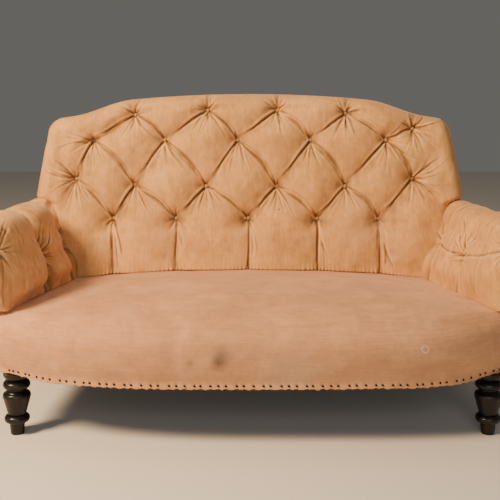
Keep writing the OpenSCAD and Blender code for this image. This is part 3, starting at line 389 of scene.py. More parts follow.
def velvet(name, worn, deep, dusty, rubbed, grain):
    """Mohair velvet, woven and cut: a short pile that leans in patches, so it looks paler or darker by the
    hand's breadth, and is rubbed paler on the ridges. Where the fold value is high it turns towards deep,
    which is painted shade in the folds with some dust. grain stretches the brushed streaks."""
    material, tree, shader, place = new_material(name, Sheen_Weight=0.35, Sheen_Roughness=0.45,
                                                 Sheen_Tint=linear("#F3DCC0"), Specular_IOR_Level=0.25)
    lean = ramp(tree, noise(tree, place, 0.14, 3.0, 0.6, 0.8), 0.36, 0.66)
    mottle = ramp(tree, noise(tree, place, 0.018, 6.0, 0.72), 0.28, 0.72)
    brushed = add_node(tree, "ShaderNodeMapping", {}, place, Scale=grain)
    streak = ramp(tree, noise(tree, brushed, 1.0, 5.0, 0.65), 0.32, 0.70)
    pile = noise(tree, place, 0.0016, 2.0, 0.6)
    shade = 0.81
    for part, share in ((mottle, 0.24), (streak, 0.22), (pile, 0.14)):
        shade = add_node(tree, "ShaderNodeMath", {"operation": "MULTIPLY_ADD"}, part, share, shade)
    tone = mix(tree, lean, dusty, worn)
    tone = add_node(tree, "ShaderNodeVectorMath", {"operation": "SCALE"}, tone, Scale=shade)
    fold = add_node(tree, "ShaderNodeAttribute", {"attribute_name": "fold"}).outputs["Fac"]
    tone = mix(tree, ramp(tree, fold, -0.1, -1.0, 0.0, 0.6), tone, rubbed)
    # Painted shade: the colour goes towards deep where the fold value is high, for the shade in folds and
    # hollows, with some dust.
    tone = mix(tree, ramp(tree, fold, 0.05, 1.0, 0.0, 0.72), tone, deep)
    wire_up(tree, shader, tone, ramp(tree, mottle, 0.0, 1.0, 0.80, 0.94))
    crush = noise(tree, place, 0.007, 3.0)
    soft = add_node(tree, "ShaderNodeBump", {}, Strength=0.35, Distance=0.0014, Height=crush)
    fine = add_node(tree, "ShaderNodeBump", {}, Strength=0.45, Distance=0.0006, Height=pile, Normal=soft)
    tree.links.new(fine.outputs[0], shader.inputs["Normal"])
    return material, tree, shader, place


def marked(tree, shader, place, marks):
    """Stains, as rings or blots, laid over a cloth's colour: (centre, radius, softness, ring width or 0,
    colour, strength). Each is warped by 3 mm of noise."""
    warp = noise(tree, place, 0.02, 4.0, 0.6)
    warp = add_node(tree, "ShaderNodeVectorMath", {"operation": "SCALE"}, warp.outputs[1], Scale=0.014)
    moved = add_node(tree, "ShaderNodeVectorMath", {"operation": "ADD"}, place, warp)
    tone = shader.inputs["Base Color"].links[0].from_socket
    for centre, radius, soft, ring, colour, strength in marks:
        centre = tuple(c + 0.014 / 2 for c in centre)
        far = add_node(tree, "ShaderNodeVectorMath", {"operation": "DISTANCE"}, moved, centre).outputs[1]
        if ring:
            far = add_node(tree, "ShaderNodeMath", {"operation": "SUBTRACT"}, far, radius)
            far = add_node(tree, "ShaderNodeMath", {"operation": "ABSOLUTE"}, far)
            radius = ring
        tone = mix(tree, ramp(tree, far, radius - soft, radius + soft, strength, 0.0), tone, colour)
    tree.links.new(tone, shader.inputs["Base Color"])


seat = skin("seat_velvet", rings, chain=face.shape[1])
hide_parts("seat_cover")
# Worn mohair velvet of the seat: handled daily, so it is dustier and browner than the back.
seat_cloth, tree, shader, place = velvet("worn_mohair_velvet_seat", "#C08E66", "#5E4534", "#B1805A",
                                         "#DDB083", (1 / 0.09, 1 / 0.05, 1 / 0.004))
seat.data.materials.append(seat_cloth)
flat_place = add_node(tree, "ShaderNodeVectorMath", {"operation": "MULTIPLY"}, place, (1, 0, 1))
marked(tree, shader, flat_place, [
    ((-0.083, 0, 0.268), 0.018, 0.017, 0, "#62554B", 0.62),
    ((-0.090, 0, 0.244), 0.014, 0.014, 0, "#4A403A", 0.75),
    ((-0.164, 0, 0.244), 0.006, 0.007, 0, "#5A4E46", 0.65),
    ((0.444, 0, 0.274), 0.009, 0.0018, 0.0016, "#E8D0B4", 0.55),
    ((0.10, 0, 0.190), 0.06, 0.05, 0, "#B79A80", 0.35),
    ((-0.525, 0, 0.217), 0.012, 0.010, 0, "#E0BC97", 0.35)])
marked(tree, shader, place, [((0.459, -0.355, 0.351), 0.009, 0.0022, 0.0022, "#6B4B38", 0.60)])


# Raw edge: the velvet was cut off below the tacks and never hemmed, so its weft has frayed into short loose
# threads. They are drawn 0.5 mm thick, twice their real size, so that they show.
rng = np.random.default_rng(9)
count = 1100
fx = rng.uniform(-0.69, 0.69, count)
slope = bow_angle(fx)
out = points(np.sin(slope), -np.cos(slope), 0)
side_way = points(np.cos(slope), np.sin(slope), 0)
root = points(fx, front_y(fx), hem_height(fx) + 0.0012) - out * rng.uniform(0.0004, 0.0024, (count, 1))
length = 0.0015 + 0.0055 * rng.random(count) ** 2.4
t = np.linspace(0, 1, 5)[None, :, None]
lean_out, lean_side = rng.uniform(-0.2, 0.45, (count, 1, 1)), rng.normal(0, 0.55, (count, 1, 1))
bend = out[:, None] * lean_out + side_way[:, None] * lean_side
spine = root[:, None] + length[:, None, None] * t * ((0, 0, -1) + t * bend)
turn = np.arange(3)[:, None] * 2 * np.pi / 3
hoop = out[:, None, None] * np.cos(turn) + side_way[:, None, None] * np.sin(turn)
threads = skin("frayed_edge", spine[:, :, None] + 0.00025 * (1.15 - t[..., None]) * hoop)
thread_stuff, tree, shader, place = new_material("loose_velvet_thread", Roughness=0.9)
wire_up(tree, shader, mix(tree, noise(tree, place, 0.006), "#8A5B3A", "#D0A17A"))
threads.data.materials.append(thread_stuff)


# Tacks: blued steel upholstery tacks with low domed heads, hammered in by eye. The blue has worn to a brown
# black with a little rust round the rims.
def dress(material, *names):
    """Gives the material to carried-over nodes of the frame."""
    for name in names:
        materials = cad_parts[name].data.materials
        materials.clear()
        materials.append(material)


tack_steel, tree, shader, place = new_material("blued_tack_steel", Metallic=0.85)
rust = ramp(tree, noise(tree, place, 0.0025, 4.0, 0.7), 0.48, 0.68)
wire_up(tree, shader, mix(tree, rust, "#1A1513", "#4A2C1B"), ramp(tree, rust, 0.0, 1.0, 0.34, 0.8))
dress(tack_steel, "front_tacks")


# Inside back: a stuffed pad in mohair velvet, drawn back to the webbing by 21 buttons on a diamond lattice,
# with a pleat folded in along every line of the lattice. The cloth rolls over the crest rail and round both
# posts.
PAD_T = 0.069
BUTTON_DEPTH = 0.042
ROLL_DEPTH = 0.050
PLEAT_DEPTH = 0.019
STEP = 36
ARM_H = 0.585
BACK_H = 0.942
# Button rows from the lowest up, each as (column, millimetres from the middle), read off.
LATTICE = (((-1, -690), (1, -455), (3, -245), (5, -5), (7, 225), (9, 430), (11, 690)),
           ((-1, -690), (0, -580), (2, -385), (4, -145), (6, 90), (8, 320), (10, 545), (11, 690)),
           ((-1, -690), (1, -525), (3, -285), (5, -40), (7, 205), (9, 460), (11, 690)),
           ((-1, -690), (0, -600), (2, -385), (4, -140), (6, 95), (8, 325), (10, 550), (11, 690)))


def between(rows, r):
    """A straight blend between the two rows below and above r."""
    a = np.clip(np.floor(r).astype(int), 0, len(rows) - 2)
    f = r - a
    low, high = (np.take_along_axis(rows, a[None] + k, axis=0)[0] for k in (0, 1))
    return low * (1 - f) + high * f


def lattice_x(u, w):
    """Across: a blend between the button rows below and above w, each interpolated at column u."""
    rows = np.stack([np.interp(u, *np.array(row, float).T) for row in LATTICE]) / 1000
    return between(rows, np.clip(w, 0, 3))


def top_edge(x):
    """Height of the back's outline: a flat arch, a drop to each shoulder and a round corner of 45 mm."""
    x = np.abs(x)
    arch = BACK_H - 0.027 * (x / 0.480) ** 2 - 0.033 * smooth((x - 0.400) / 0.200)
    d = np.clip(x - 0.635, 0, 0.045)
    return arch - 0.045 + np.sqrt(0.045 ** 2 - d ** 2)


def row_z(x, w):
    """Height of lattice row w at x, from the seat (-1) through the four button rows to the top edge (4)."""
    e = top_edge(x)
    ax = np.abs(x)
    rows = np.stack(np.broadcast_arrays(
        seat_top(x, Y_POST - 0.055) + 0.001, EDGE_Z + 0.187,
        EDGE_Z + 0.294 + 0.025 * smooth((ax - 0.33) / 0.2),
        EDGE_Z + 0.448 - 0.045 * smooth((ax - 0.52) / 0.15), e - 0.052, e))
    return between(rows, w + 1)


def leant(x, y, z):
    """A world point from x, the depth y in front of or behind the leaning face and the height z."""
    up = (z - RAIL_TOP + y * math.sin(LEAN)) / math.cos(LEAN)
    return points(x, Y_POST + y * math.cos(LEAN) + up * math.sin(LEAN), z)


def flare(z):
    """Half-width of the back above the arms, whose sides spread downwards by 17 mm in 100."""
    return HALF_W + (BACK_H - 0.186 - z) * 0.17


def pad_edge(z):
    """Half-width of the pad: the post's outer face below the arm, the flaring side edge above it."""
    return POST_OUT + 0.0003 + (flare(z) - POST_OUT) * smooth((z - ARM_H + 0.010) / 0.030)


def pleated(u, w):
    """Height of the stuffing between the pleats, 0 in a pleat and 1 at a diamond's crown: the product of
    two half sines across the lattice's two sets of lines, each to a low power. The pleats that fall to the
    right bulge upwards between their buttons. Below the lowest buttons and above the highest the pleats
    stand upright."""
    a = u + w + 1 - 0.15 * np.sin(np.pi / 2 * (u - w + 1)) ** 2
    inner = np.abs(np.sin(np.pi / 2 * a)) ** 0.52 * np.abs(np.sin(np.pi / 2 * (u - w + 1))) ** 1.15
    below = np.abs(np.sin(np.pi / 2 * (u + 1))) ** 0.42
    above = np.abs(np.sin(np.pi / 2 * u)) ** 0.8
    low, high = smooth((w + 0.35) / 0.35), smooth((w - 3) / 0.6)
    return (inner * low + below * (1 - low)) * (1 - high) + above * high


def creases(across, up, lines):
    """Relief of the cloth's small creases, each a narrow trough with a lip beside it that follows a shallow
    arc. A line is (x0, z0, x1, z1, bow, width, depth, fade): bow lifts its middle to the left of its run,
    the sign of the width says which side the lip is on, and fade 0 keeps it deep to its end while 1 or more
    lets it die out."""
    relief = np.zeros_like(across)
    for x0, z0, x1, z1, bow, width, depth, fading in lines:
        tx, tz = x1 - x0, z1 - z0
        run = math.hypot(tx, tz)
        s = ((across - x0) * tx + (up - z0) * tz) / run ** 2
        d = (-(across - x0) * tz + (up - z0) * tx) / run - bow * 4 * s * (1 - s)
        t = np.clip(s, 0, 1)
        ends = smooth(s / 0.12 + 0.2) * smooth((1 - s) / 0.12 + 0.2)
        strength = depth * ends * (1 - t) ** fading * (1 - 0.45 * (fading == 0) * np.sin(np.pi * t))
        lip = (d / width - 1.7) / 1.15
        relief += strength * (0.6 * np.exp(-lip ** 2) - np.exp(-(d / width) ** 2))
    return relief


def edge_roll(x, z):
    """How far the pad's face turns back near its sides and its crest: each a quarter circle of 48 mm."""
    gaps = pad_edge(z) - np.abs(x), top_edge(x) - z
    turned_back = sum(1 - np.sqrt(1 - (1 - np.clip(gap / 0.048, 0, 1)) ** 2) for gap in gaps)
    return ROLL_DEPTH * np.minimum(1, turned_back)


# Grid: u runs along the lattice's columns and w up its rows. Beyond each end s first crosses to the post,
# then wraps round the pad's side and last turns in behind it.
u_in = np.arange(0, 10 * STEP + 1) / STEP
ends = np.linspace(0, 1, 34)[1:]
wraps = np.linspace(0, 1, 15)[1:] ** 0.8
rounds = np.linspace(0, 1, 10)[1:]
w = np.concatenate([np.arange(-STEP, 3 * STEP) / STEP, 3 + np.linspace(0, 1, 25) ** 0.8])
beyond = np.concatenate([ends, 1 + wraps, 2 + rounds])
s = np.concatenate([-beyond[::-1], u_in, 10 + beyond])
past = np.maximum(-s, s - 10)
U, W = np.meshgrid(np.clip(s, -1, 11), w, indexing="ij")
SIDE, END, WRAP, ROUND = (np.broadcast_to(k[:, None], U.shape) for k in (
    np.where(s < 5, -1.0, 1.0), *(np.clip(past - n, 0, 1) for n in range(3))))
round_g = ROUND[:, 0]
X = lattice_x(np.clip(U, 0, 10), W) * (1 - END) + SIDE * POST_OUT * END
Z = row_z(X, W)
X = X + SIDE * WRAP * (pad_edge(Z) - POST_OUT)
for _ in range(2):
    Z = row_z(X, W)
    X = np.where(WRAP > 0, SIDE * (POST_OUT + WRAP * (pad_edge(Z) - POST_OUT)), X)

# Depth: pleats, a dent at each button and the rolled edge. The top left corner has no pleat.
bare = smooth((-X - 0.47) / 0.06) * smooth((W - 2.05) / 0.3)
puff = pleated(U, W) * (1 - bare) + bare
grid = [(q, r) for r in range(4) for q in range(11) if (q + r) % 2 == 1 and (q, r) != (0, 3)]
bu, bw = np.array(grid, float).T
bx = lattice_x(bu, bw)
bz = row_z(bx, bw)
place_of = dict(zip(grid, zip(bx, bz)))
knot = np.zeros_like(X)
for x0, z0 in place_of.values():
    knot = np.maximum(knot, np.exp(-(np.hypot(X - x0, Z - z0) / 0.023) ** 1.4))
fade = np.clip((HALF_W - np.abs(X)) / 0.06, 0, 1) * smooth(1.15 - 1.5 * END)
dent = fade * (PLEAT_DEPTH * (1 - puff) * (1 - 0.25 * knot) + (BUTTON_DEPTH - PLEAT_DEPTH * 0.75) * knot)
roll = edge_roll(X, Z)

# Creases: loose cloth gathers from button to button, hangs below each one and fans out to the edges.
rng = np.random.default_rng(21)
lines = []
for (q, r), (x0, z0) in place_of.items():
    right, left = place_of.get((q + 1, r - 1)), place_of.get((q - 1, r - 1))
    if right:
        for bow in np.array([0.007, 0.015, 0.023]) + rng.uniform(-0.003, 0.003, 3):
            lines.append((x0, z0, *right, bow, -0.0030, rng.uniform(0.0016, 0.0030), 0))
    if left:
        for shift in (-0.014, 0, 0.013, 0.026):
            lines.append((x0, z0, left[0] + shift, left[1] - 0.3 * shift, -0.003 - 0.5 * shift,
                          rng.choice((-1, 1)) * 0.0032, rng.uniform(0.0020, 0.0040), rng.uniform(0.6, 1.3)))

    def fan(count, middle, spread, length, depth, fading=1.2):
        """Creases that leave this button about the angle middle, in degrees from straight down."""
        for turn in middle + spread * (np.linspace(-1, 1, count) + rng.uniform(-0.25, 0.25, count)):
            far = length * rng.uniform(0.6, 1.25)
            a = math.radians(turn)
            lines.append((x0, z0, x0 + far * math.sin(a), z0 - far * math.cos(a),
                          far * rng.uniform(-0.07, 0.07), rng.choice((-1, 1)) * rng.uniform(0.0022, 0.0036),
                          depth * rng.uniform(0.5, 1.3), fading))

    if r > 0:
        fan(8, 4, 38, 0.105, 0.0034, 0.8)
        fan(4, 182, 30, 0.045, 0.0022)
    if r == 3:
        fan(9, 180, 66, 0.055, 0.0028, 0.6)
    if r == 0:
        fan(4, -35, 30, 0.042, 0.0030)
        fan(3, 40, 18, 0.040, 0.0026)
        fan(4, 182, 30, 0.045, 0.0024)
        fan(3, 6, 9, 0.16, 0.0040, 0.2)
    if x0 < -0.5:
        fan(10 if r == 1 else 5, -98, 36, 0.11, 0.0026, 0.7)
    if x0 > 0.45:
        fan(12 if r == 1 else 5, 98, 42, 0.13, 0.0026, 0.7)
crease = creases(X, Z, lines) * smooth(2.2 - 1.4 * WRAP)
near_fold = np.exp(-(np.abs((U % 2) - 1) / 0.35) ** 2)
tucks = 0.0020 * np.sin(X * 2 * np.pi / 0.0125 + 2.5 * ripple(X * 30 + 40, 0 * X, 25)) * (0.35 + near_fold)
crease += tucks * np.exp(-np.maximum(0, Z - row_z(X, 0 * W - 1)) / 0.012)
lumps = 0.0026 * ripple(X * 11 + 20, Z * 11 + 5, 31) + 0.0013 * ripple(X * 31 + 20, Z * 27 + 5, 32) \
    + 0.0005 * ripple(X * 75 + 20, Z * 61 + 5, 33)
Y = -PAD_T + np.maximum(dent * (1 - roll / ROLL_DEPTH), 0) + roll - (crease + lumps) * (1 - ROUND)
Y = Y * (1 - ROUND) + (POST_T - 0.0007) * ROUND
X = X + SIDE * 0.004 * np.sin(np.pi * ROUND) * smooth((Z - ARM_H) / 0.03)

# Crest and hidden side: the cloth rolls over the crest rail, and the pad's back lies on the canvas.
front = leant(X, Y, Z)
xt, zt, yt = X[:, -1], Z[:, -1], Y[:, -1]
crest = np.minimum(top_edge(np.abs(xt) + 0.026) - 0.024, BACK_H) + 0.004
over = np.stack([points(xt, yt, zt), points(xt, yt + (POST_T * 0.25 - yt) * (1 - round_g), zt + 0.0015),
                 points(xt, yt + (POST_T - 0.009 - yt) * (1 - round_g), zt - 0.003),
                 points(xt, POST_T - 0.0005, zt - 0.013)], axis=1)
over = spline(over, np.linspace(0, 3, 19)[1:])
behind = (np.abs(xt) > POST_OUT + 0.00001)
rest = np.where(behind, POST_T - 0.0008, -0.0065)
crest = np.where(behind, zt - 0.019, np.minimum(crest, zt - 0.016))
sill = Z[:, 0]
back = np.stack([points(xt, POST_T - 0.0006, crest), points(xt, rest, crest),
                 points((xt + X[:, 0]) / 2, rest, (zt + sill) / 2), points(X[:, 0], rest, sill)], axis=1)
hidden = np.concatenate([over, back], axis=1)
rings = np.concatenate([front, leant(hidden[..., 0], hidden[..., 1], hidden[..., 2])], axis=1)

# Quads are split along the pleat that crosses them, so that no pleat looks jagged.
near_a, near_b = (np.abs(np.sin(np.pi / 2 * (U + way * W + 1))) for way in (1, -1))
mid = lambda g: (g[:-1, :-1] + g[1:, 1:] + g[:-1, 1:] + g[1:, :-1]) / 4
turned = np.zeros((rings.shape[0] - 1, rings.shape[1]), bool)
turned[:, :len(w) - 1] = mid(near_a) < mid(near_b)
# Fold value: painted shade with some dust in the pleats and the hollows of the creases, and rubbed pale on
# their ridges.
fold = np.zeros(rings.shape[:2])
pleat_dust_and_shade = 0.45 * fade * np.maximum(0.7 - puff, 0)
fold[:, :len(w)] = np.clip(pleat_dust_and_shade + worn_by(crease + lumps - 0.5 * dent, 0.0026), -1, 1)
back_pad = skin("back_velvet", rings, turned=turned, attributes={"fold": fold})
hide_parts("inside_back")
# Worn mohair velvet of the back and arms: the same cloth, cleaner and more golden than on the seat.
back_cloth, tree, shader, place = velvet("worn_mohair_velvet_back", "#CB965C", "#4C3524", "#B5854E",
                                         "#ECC38A", (1 / 0.006, 1 / 0.02, 1 / 0.05))
back_pad.data.materials.append(back_cloth)
flat_place = add_node(tree, "ShaderNodeVectorMath", {"operation": "MULTIPLY"}, place, (1, 0, 1))
marked(tree, shader, flat_place, [
    ((0.098, 0, 0.560), 0.0022, 0.0012, 0, "#3B2718", 0.80),
    ((0.106, 0, 0.552), 0.0016, 0.0010, 0, "#3B2718", 0.8),
    ((-0.52, 0, 0.60), 0.0020, 0.0012, 0, "#3B2718", 0.70),
    ((0.36, 0, 0.52), 0.05, 0.05, 0, "#D9A87A", 0.40),
    ((-0.30, 0, 0.47), 0.06, 0.06, 0, "#A87C56", 0.35)])


# Back buttons: small moulds covered in the same velvet and tied through the pad with twine, so deep that
# the pleats close round them. The cover is gathered behind the mould and shows faint radial puckers.
SUNK = 0.0026


def covered_buttons(name, centres, outs, node):
    """Domed discs at centres that face along outs: a profile of eight points turned about each axis, with
    eight low puckers round the rim."""
    outs = outs / np.linalg.norm(outs, axis=1, keepdims=True)
    across = np.cross(outs, (0, 0, 1))
    across /= np.linalg.norm(across, axis=1, keepdims=True)
    upward = np.cross(across, outs)
    a = np.linspace(0, 2 * np.pi, 33)[:-1]
    r, up = np.array([(0.9, 0.2), (4.6, 1.2), (6.4, 2.6), (6.9, 4.2), (6.4, 5.9), (5.0, 7.3), (2.9, 8.3),
                      (0.5, 8.7)]).T[..., None] / 1000
    r = (r * (1 + 0.035 * np.cos(8 * a) * (r > 0.004)))[None, :, :, None]
    a = a[:, None]
    flat = across[:, None, None] * (r * np.cos(a)) + upward[:, None, None] * (r * np.sin(a))
    rings = (centres - SUNK * outs)[:, None, None] + outs[:, None, None] * up[None, :, :, None] + flat
    # The fold value of 0.5 paints each button darker, as painted shade in its sunken seat.
    piece = skin(name, rings, attributes={"fold": np.full(rings.shape[:-1], 0.5)})
    piece.data.materials.append(back_cloth)
    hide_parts(node)


at_roll = edge_roll(bx, bz)
seat_of = -PAD_T + BUTTON_DEPTH * (1 - at_roll / ROLL_DEPTH) + at_roll
facing = np.tile((0, -math.cos(LEAN), math.sin(LEAN)), (len(bx), 1))
covered_buttons("back_covered_buttons", leant(bx, seat_of, bz), facing, "back_buttons")


# Arms: each has a stuffed pad in the same velvet, sewn up its inner face, rolled over the arm rail and
# tucked beneath it. Two buttons on the inner face and one on the nose draw in upright folds that run on
# over the roll.
ARM_R = 0.070
ROLL_FRONT = HALF_W + 0.058
ROLL_REAR = POST_OUT + 0.022
ROLL_Z = ARM_H - ARM_R
ARM_REAR = CORNER_Y + 0.0454
ARM_NOSE = ARM_FRONT - 0.004
NOSE_R = 0.034
RAIL_Z0 = ROLL_Z - 0.022
RAIL_Z1 = RAIL_Z0 + 0.040
FOOT_X = CORNER_X + CORNER_R - 0.0363
PAD_BASE = EDGE_Z + 0.0012
MEET_Y = Y_POST - PAD_T / math.cos(LEAN) - 0.002
POST_DEEP = POST_T / math.cos(LEAN)
NOSE_TIP = (ROLL_FRONT - 0.040, EDGE_Z + 0.110)
# Each fold: its place along the arm, its button's height, its width, its depth and its depth at the button.
FOLDS = ((ARM_NOSE + 0.024, ARM_H - 0.048, 0.024, 0.014, 0.020),
         (-0.015, EDGE_Z + 0.100, 0.019, 0.038, 0.046), (0.150, EDGE_Z + 0.108, 0.016, 0.036, 0.044))
# Each fan round a button: middle and spread in degrees, then count, length and depth of its creases.
ARM_FANS = ((90, 52, 12, 0.13, 0.0034), (-88, 36, 8, 0.08, 0.0030), (12, 38, 7, 0.060, 0.0026),
            (168, 38, 7, 0.060, 0.0026))
# Each arm: its name, its side, its seed and how deep its folds are.
ARMS = (("left", -1, 41, 1.0), ("right", 1, 57, 0.35))


def post_face(z):
    """Depth of the leaning post's front face at height z."""
    return Y_POST + (z - RAIL_TOP) * math.tan(LEAN)


def roll_x(y):
    """Half-distance of the arm roll's centre line, straight from the arm post back to the rear post."""
    back = np.clip((y - ARM_REAR) / (post_face(RAIL_Z0) - ARM_REAR), 0, 1)
    return ROLL_FRONT + (ROLL_REAR - ROLL_FRONT) * back


def arm_dip(y, z, over, full):
    """How far the folds draw the pad in: each is a cusp across the arm, steeper in front than behind,
    deepest round its button and shallower over the roll, where over nears 1. Between them the pad swells by
    up to 30 mm, and in the rear half less at the buttons' height. full is how deep the folds are, 1 or
    less."""
    dip, near = 0, 0
    for at, button_z, width, depth, knot in FOLDS:
        across = y - at - 0.05 * (z - button_z) * (z < button_z)
        cusp = np.exp(-(np.abs(across) / (width * np.where(across < 0, 0.8, 1.25))) ** 0.9)
        deepest = depth * full
        tied = (knot - deepest) * np.exp(-((z - button_z) / 0.030) ** 2)
        dip = dip + cusp * (deepest * (1 - 0.45 * over) + tied)
        near = np.maximum(near, cusp)
    waist = 0.012 * full * np.exp(-((z - EDGE_Z - 0.104) / 0.028) ** 2) * smooth((y + 0.05) / 0.04)
    return dip + waist - 0.030 * full * (1 - near) * (1 - 0.7 * over) * smooth((y - ARM_NOSE) / 0.13)


def face_point(y, t, full):
    """Inner face of an arm at t from the seat (0) to the roll (1): a straight line that bulges by 16 mm
    towards the seat and is drawn in by the folds, but never deeper than 10 mm short of the canvas."""
    z = PAD_BASE + (ROLL_Z - PAD_BASE) * t
    x = arm_in(y) + (roll_x(y) - ARM_R - arm_in(y)) * t - 0.016 * np.sin(np.pi * t)
    x = x + arm_dip(y, z, 0 * t, full) * smooth(t * 3)
    return np.minimum(x, canvas_x(y, z) - 0.010), z


def roll_point(y, a, full):
    """Skin of the arm roll at angle a in degrees: a circle of 70 mm drawn in by the folds."""
    over = smooth((150 - a) / 90)
    z = ROLL_Z + ARM_R * np.sin(np.radians(a))
    r = ARM_R - arm_dip(y, z, over, full) * smooth((a + 40) / 90)
    return roll_x(y) + r * np.cos(np.radians(a)), ROLL_Z + r * np.sin(np.radians(a))


def lean_back(y, z):
    """Depth on an arm: it leans back with the post near the back pad and stands upright in front."""
    return y + (z - RAIL_TOP) * math.tan(LEAN) * smooth((y - 0.020) / (MEET_Y - 0.020))


def canvas_x(y, z):
    """Half-distance of the arm's canvas: on the tacking rail low down, on the arm rail's inner edge at its
    height."""
    a = FOOT_X + 0.002 + (POST_OUT - 0.037 - FOOT_X - 0.002) * (y - ARM_REAR) / (Y_POST - ARM_REAR)
    b = roll_x(y) - 0.022
    low = RAIL_TOP + 0.074
    return np.where(z < low, a, np.where(z > RAIL_Z0, b, a + (b - a) * (z - low) / (RAIL_Z0 - low))) - 0.0003


def hollow(y, kind):
    """The pad's hidden side, from beneath the roll down to the seat: round the post's disc, then round the
    rail."""
    one = np.ones_like(y)
    if kind == "nose":
        x = RAIL_OUT + 0.0030
        path = [(ROLL_FRONT - 0.004, ROLL_Z - ARM_R + 0.003), (ROLL_FRONT - 0.014, ROLL_Z - ARM_R - 0.010)]
        path += [(x + out / 1000, EDGE_Z + up / 1000) for out, up in ((20, 70), (12, 46), (6, 28), (3, 14))]
        path += [(x + 0.002, PAD_BASE), (x - 0.018, PAD_BASE)]
    elif kind == "post":
        gap = 0.0454 / math.cos(math.radians(22.5))
        corners = [math.radians(a) for a in range(-45, 181, 45)]
        path = [(ROLL_FRONT + gap * math.cos(a), ROLL_Z + gap * math.sin(a)) for a in corners]
        path += [(FOOT_X + 0.015, EDGE_Z + 0.100), (FOOT_X + 0.0004, PAD_BASE)]
    else:
        outer = lambda z: roll_x(lean_back(y, z)) + 0.0228
        inner = lambda z: canvas_x(lean_back(y, z), z * one) - 0.0018
        top, mid_z = RAIL_Z1 + 0.0004, EDGE_Z + 0.100
        path = [(outer(z), z) for z in (RAIL_Z0 - 0.002, ROLL_Z, top)]
        path += [((outer(top) + inner(top)) / 2, top), (inner(top), top), (inner(RAIL_Z0) - 0.0001, RAIL_Z0)]
        path += [(inner(z), z) for z in (mid_z, PAD_BASE)]
    return np.stack([points(px, pz * one) for px, pz in path], axis=1)


def nose_pull(y):
    """How far the nose draws its sections together at NOSE_TIP: 0 behind it, rising as a quarter ellipse."""
    return 1 - np.sqrt(1 - 0.985 * np.clip((ARM_NOSE + NOSE_R - y) / NOSE_R, 0, 1) ** 2)


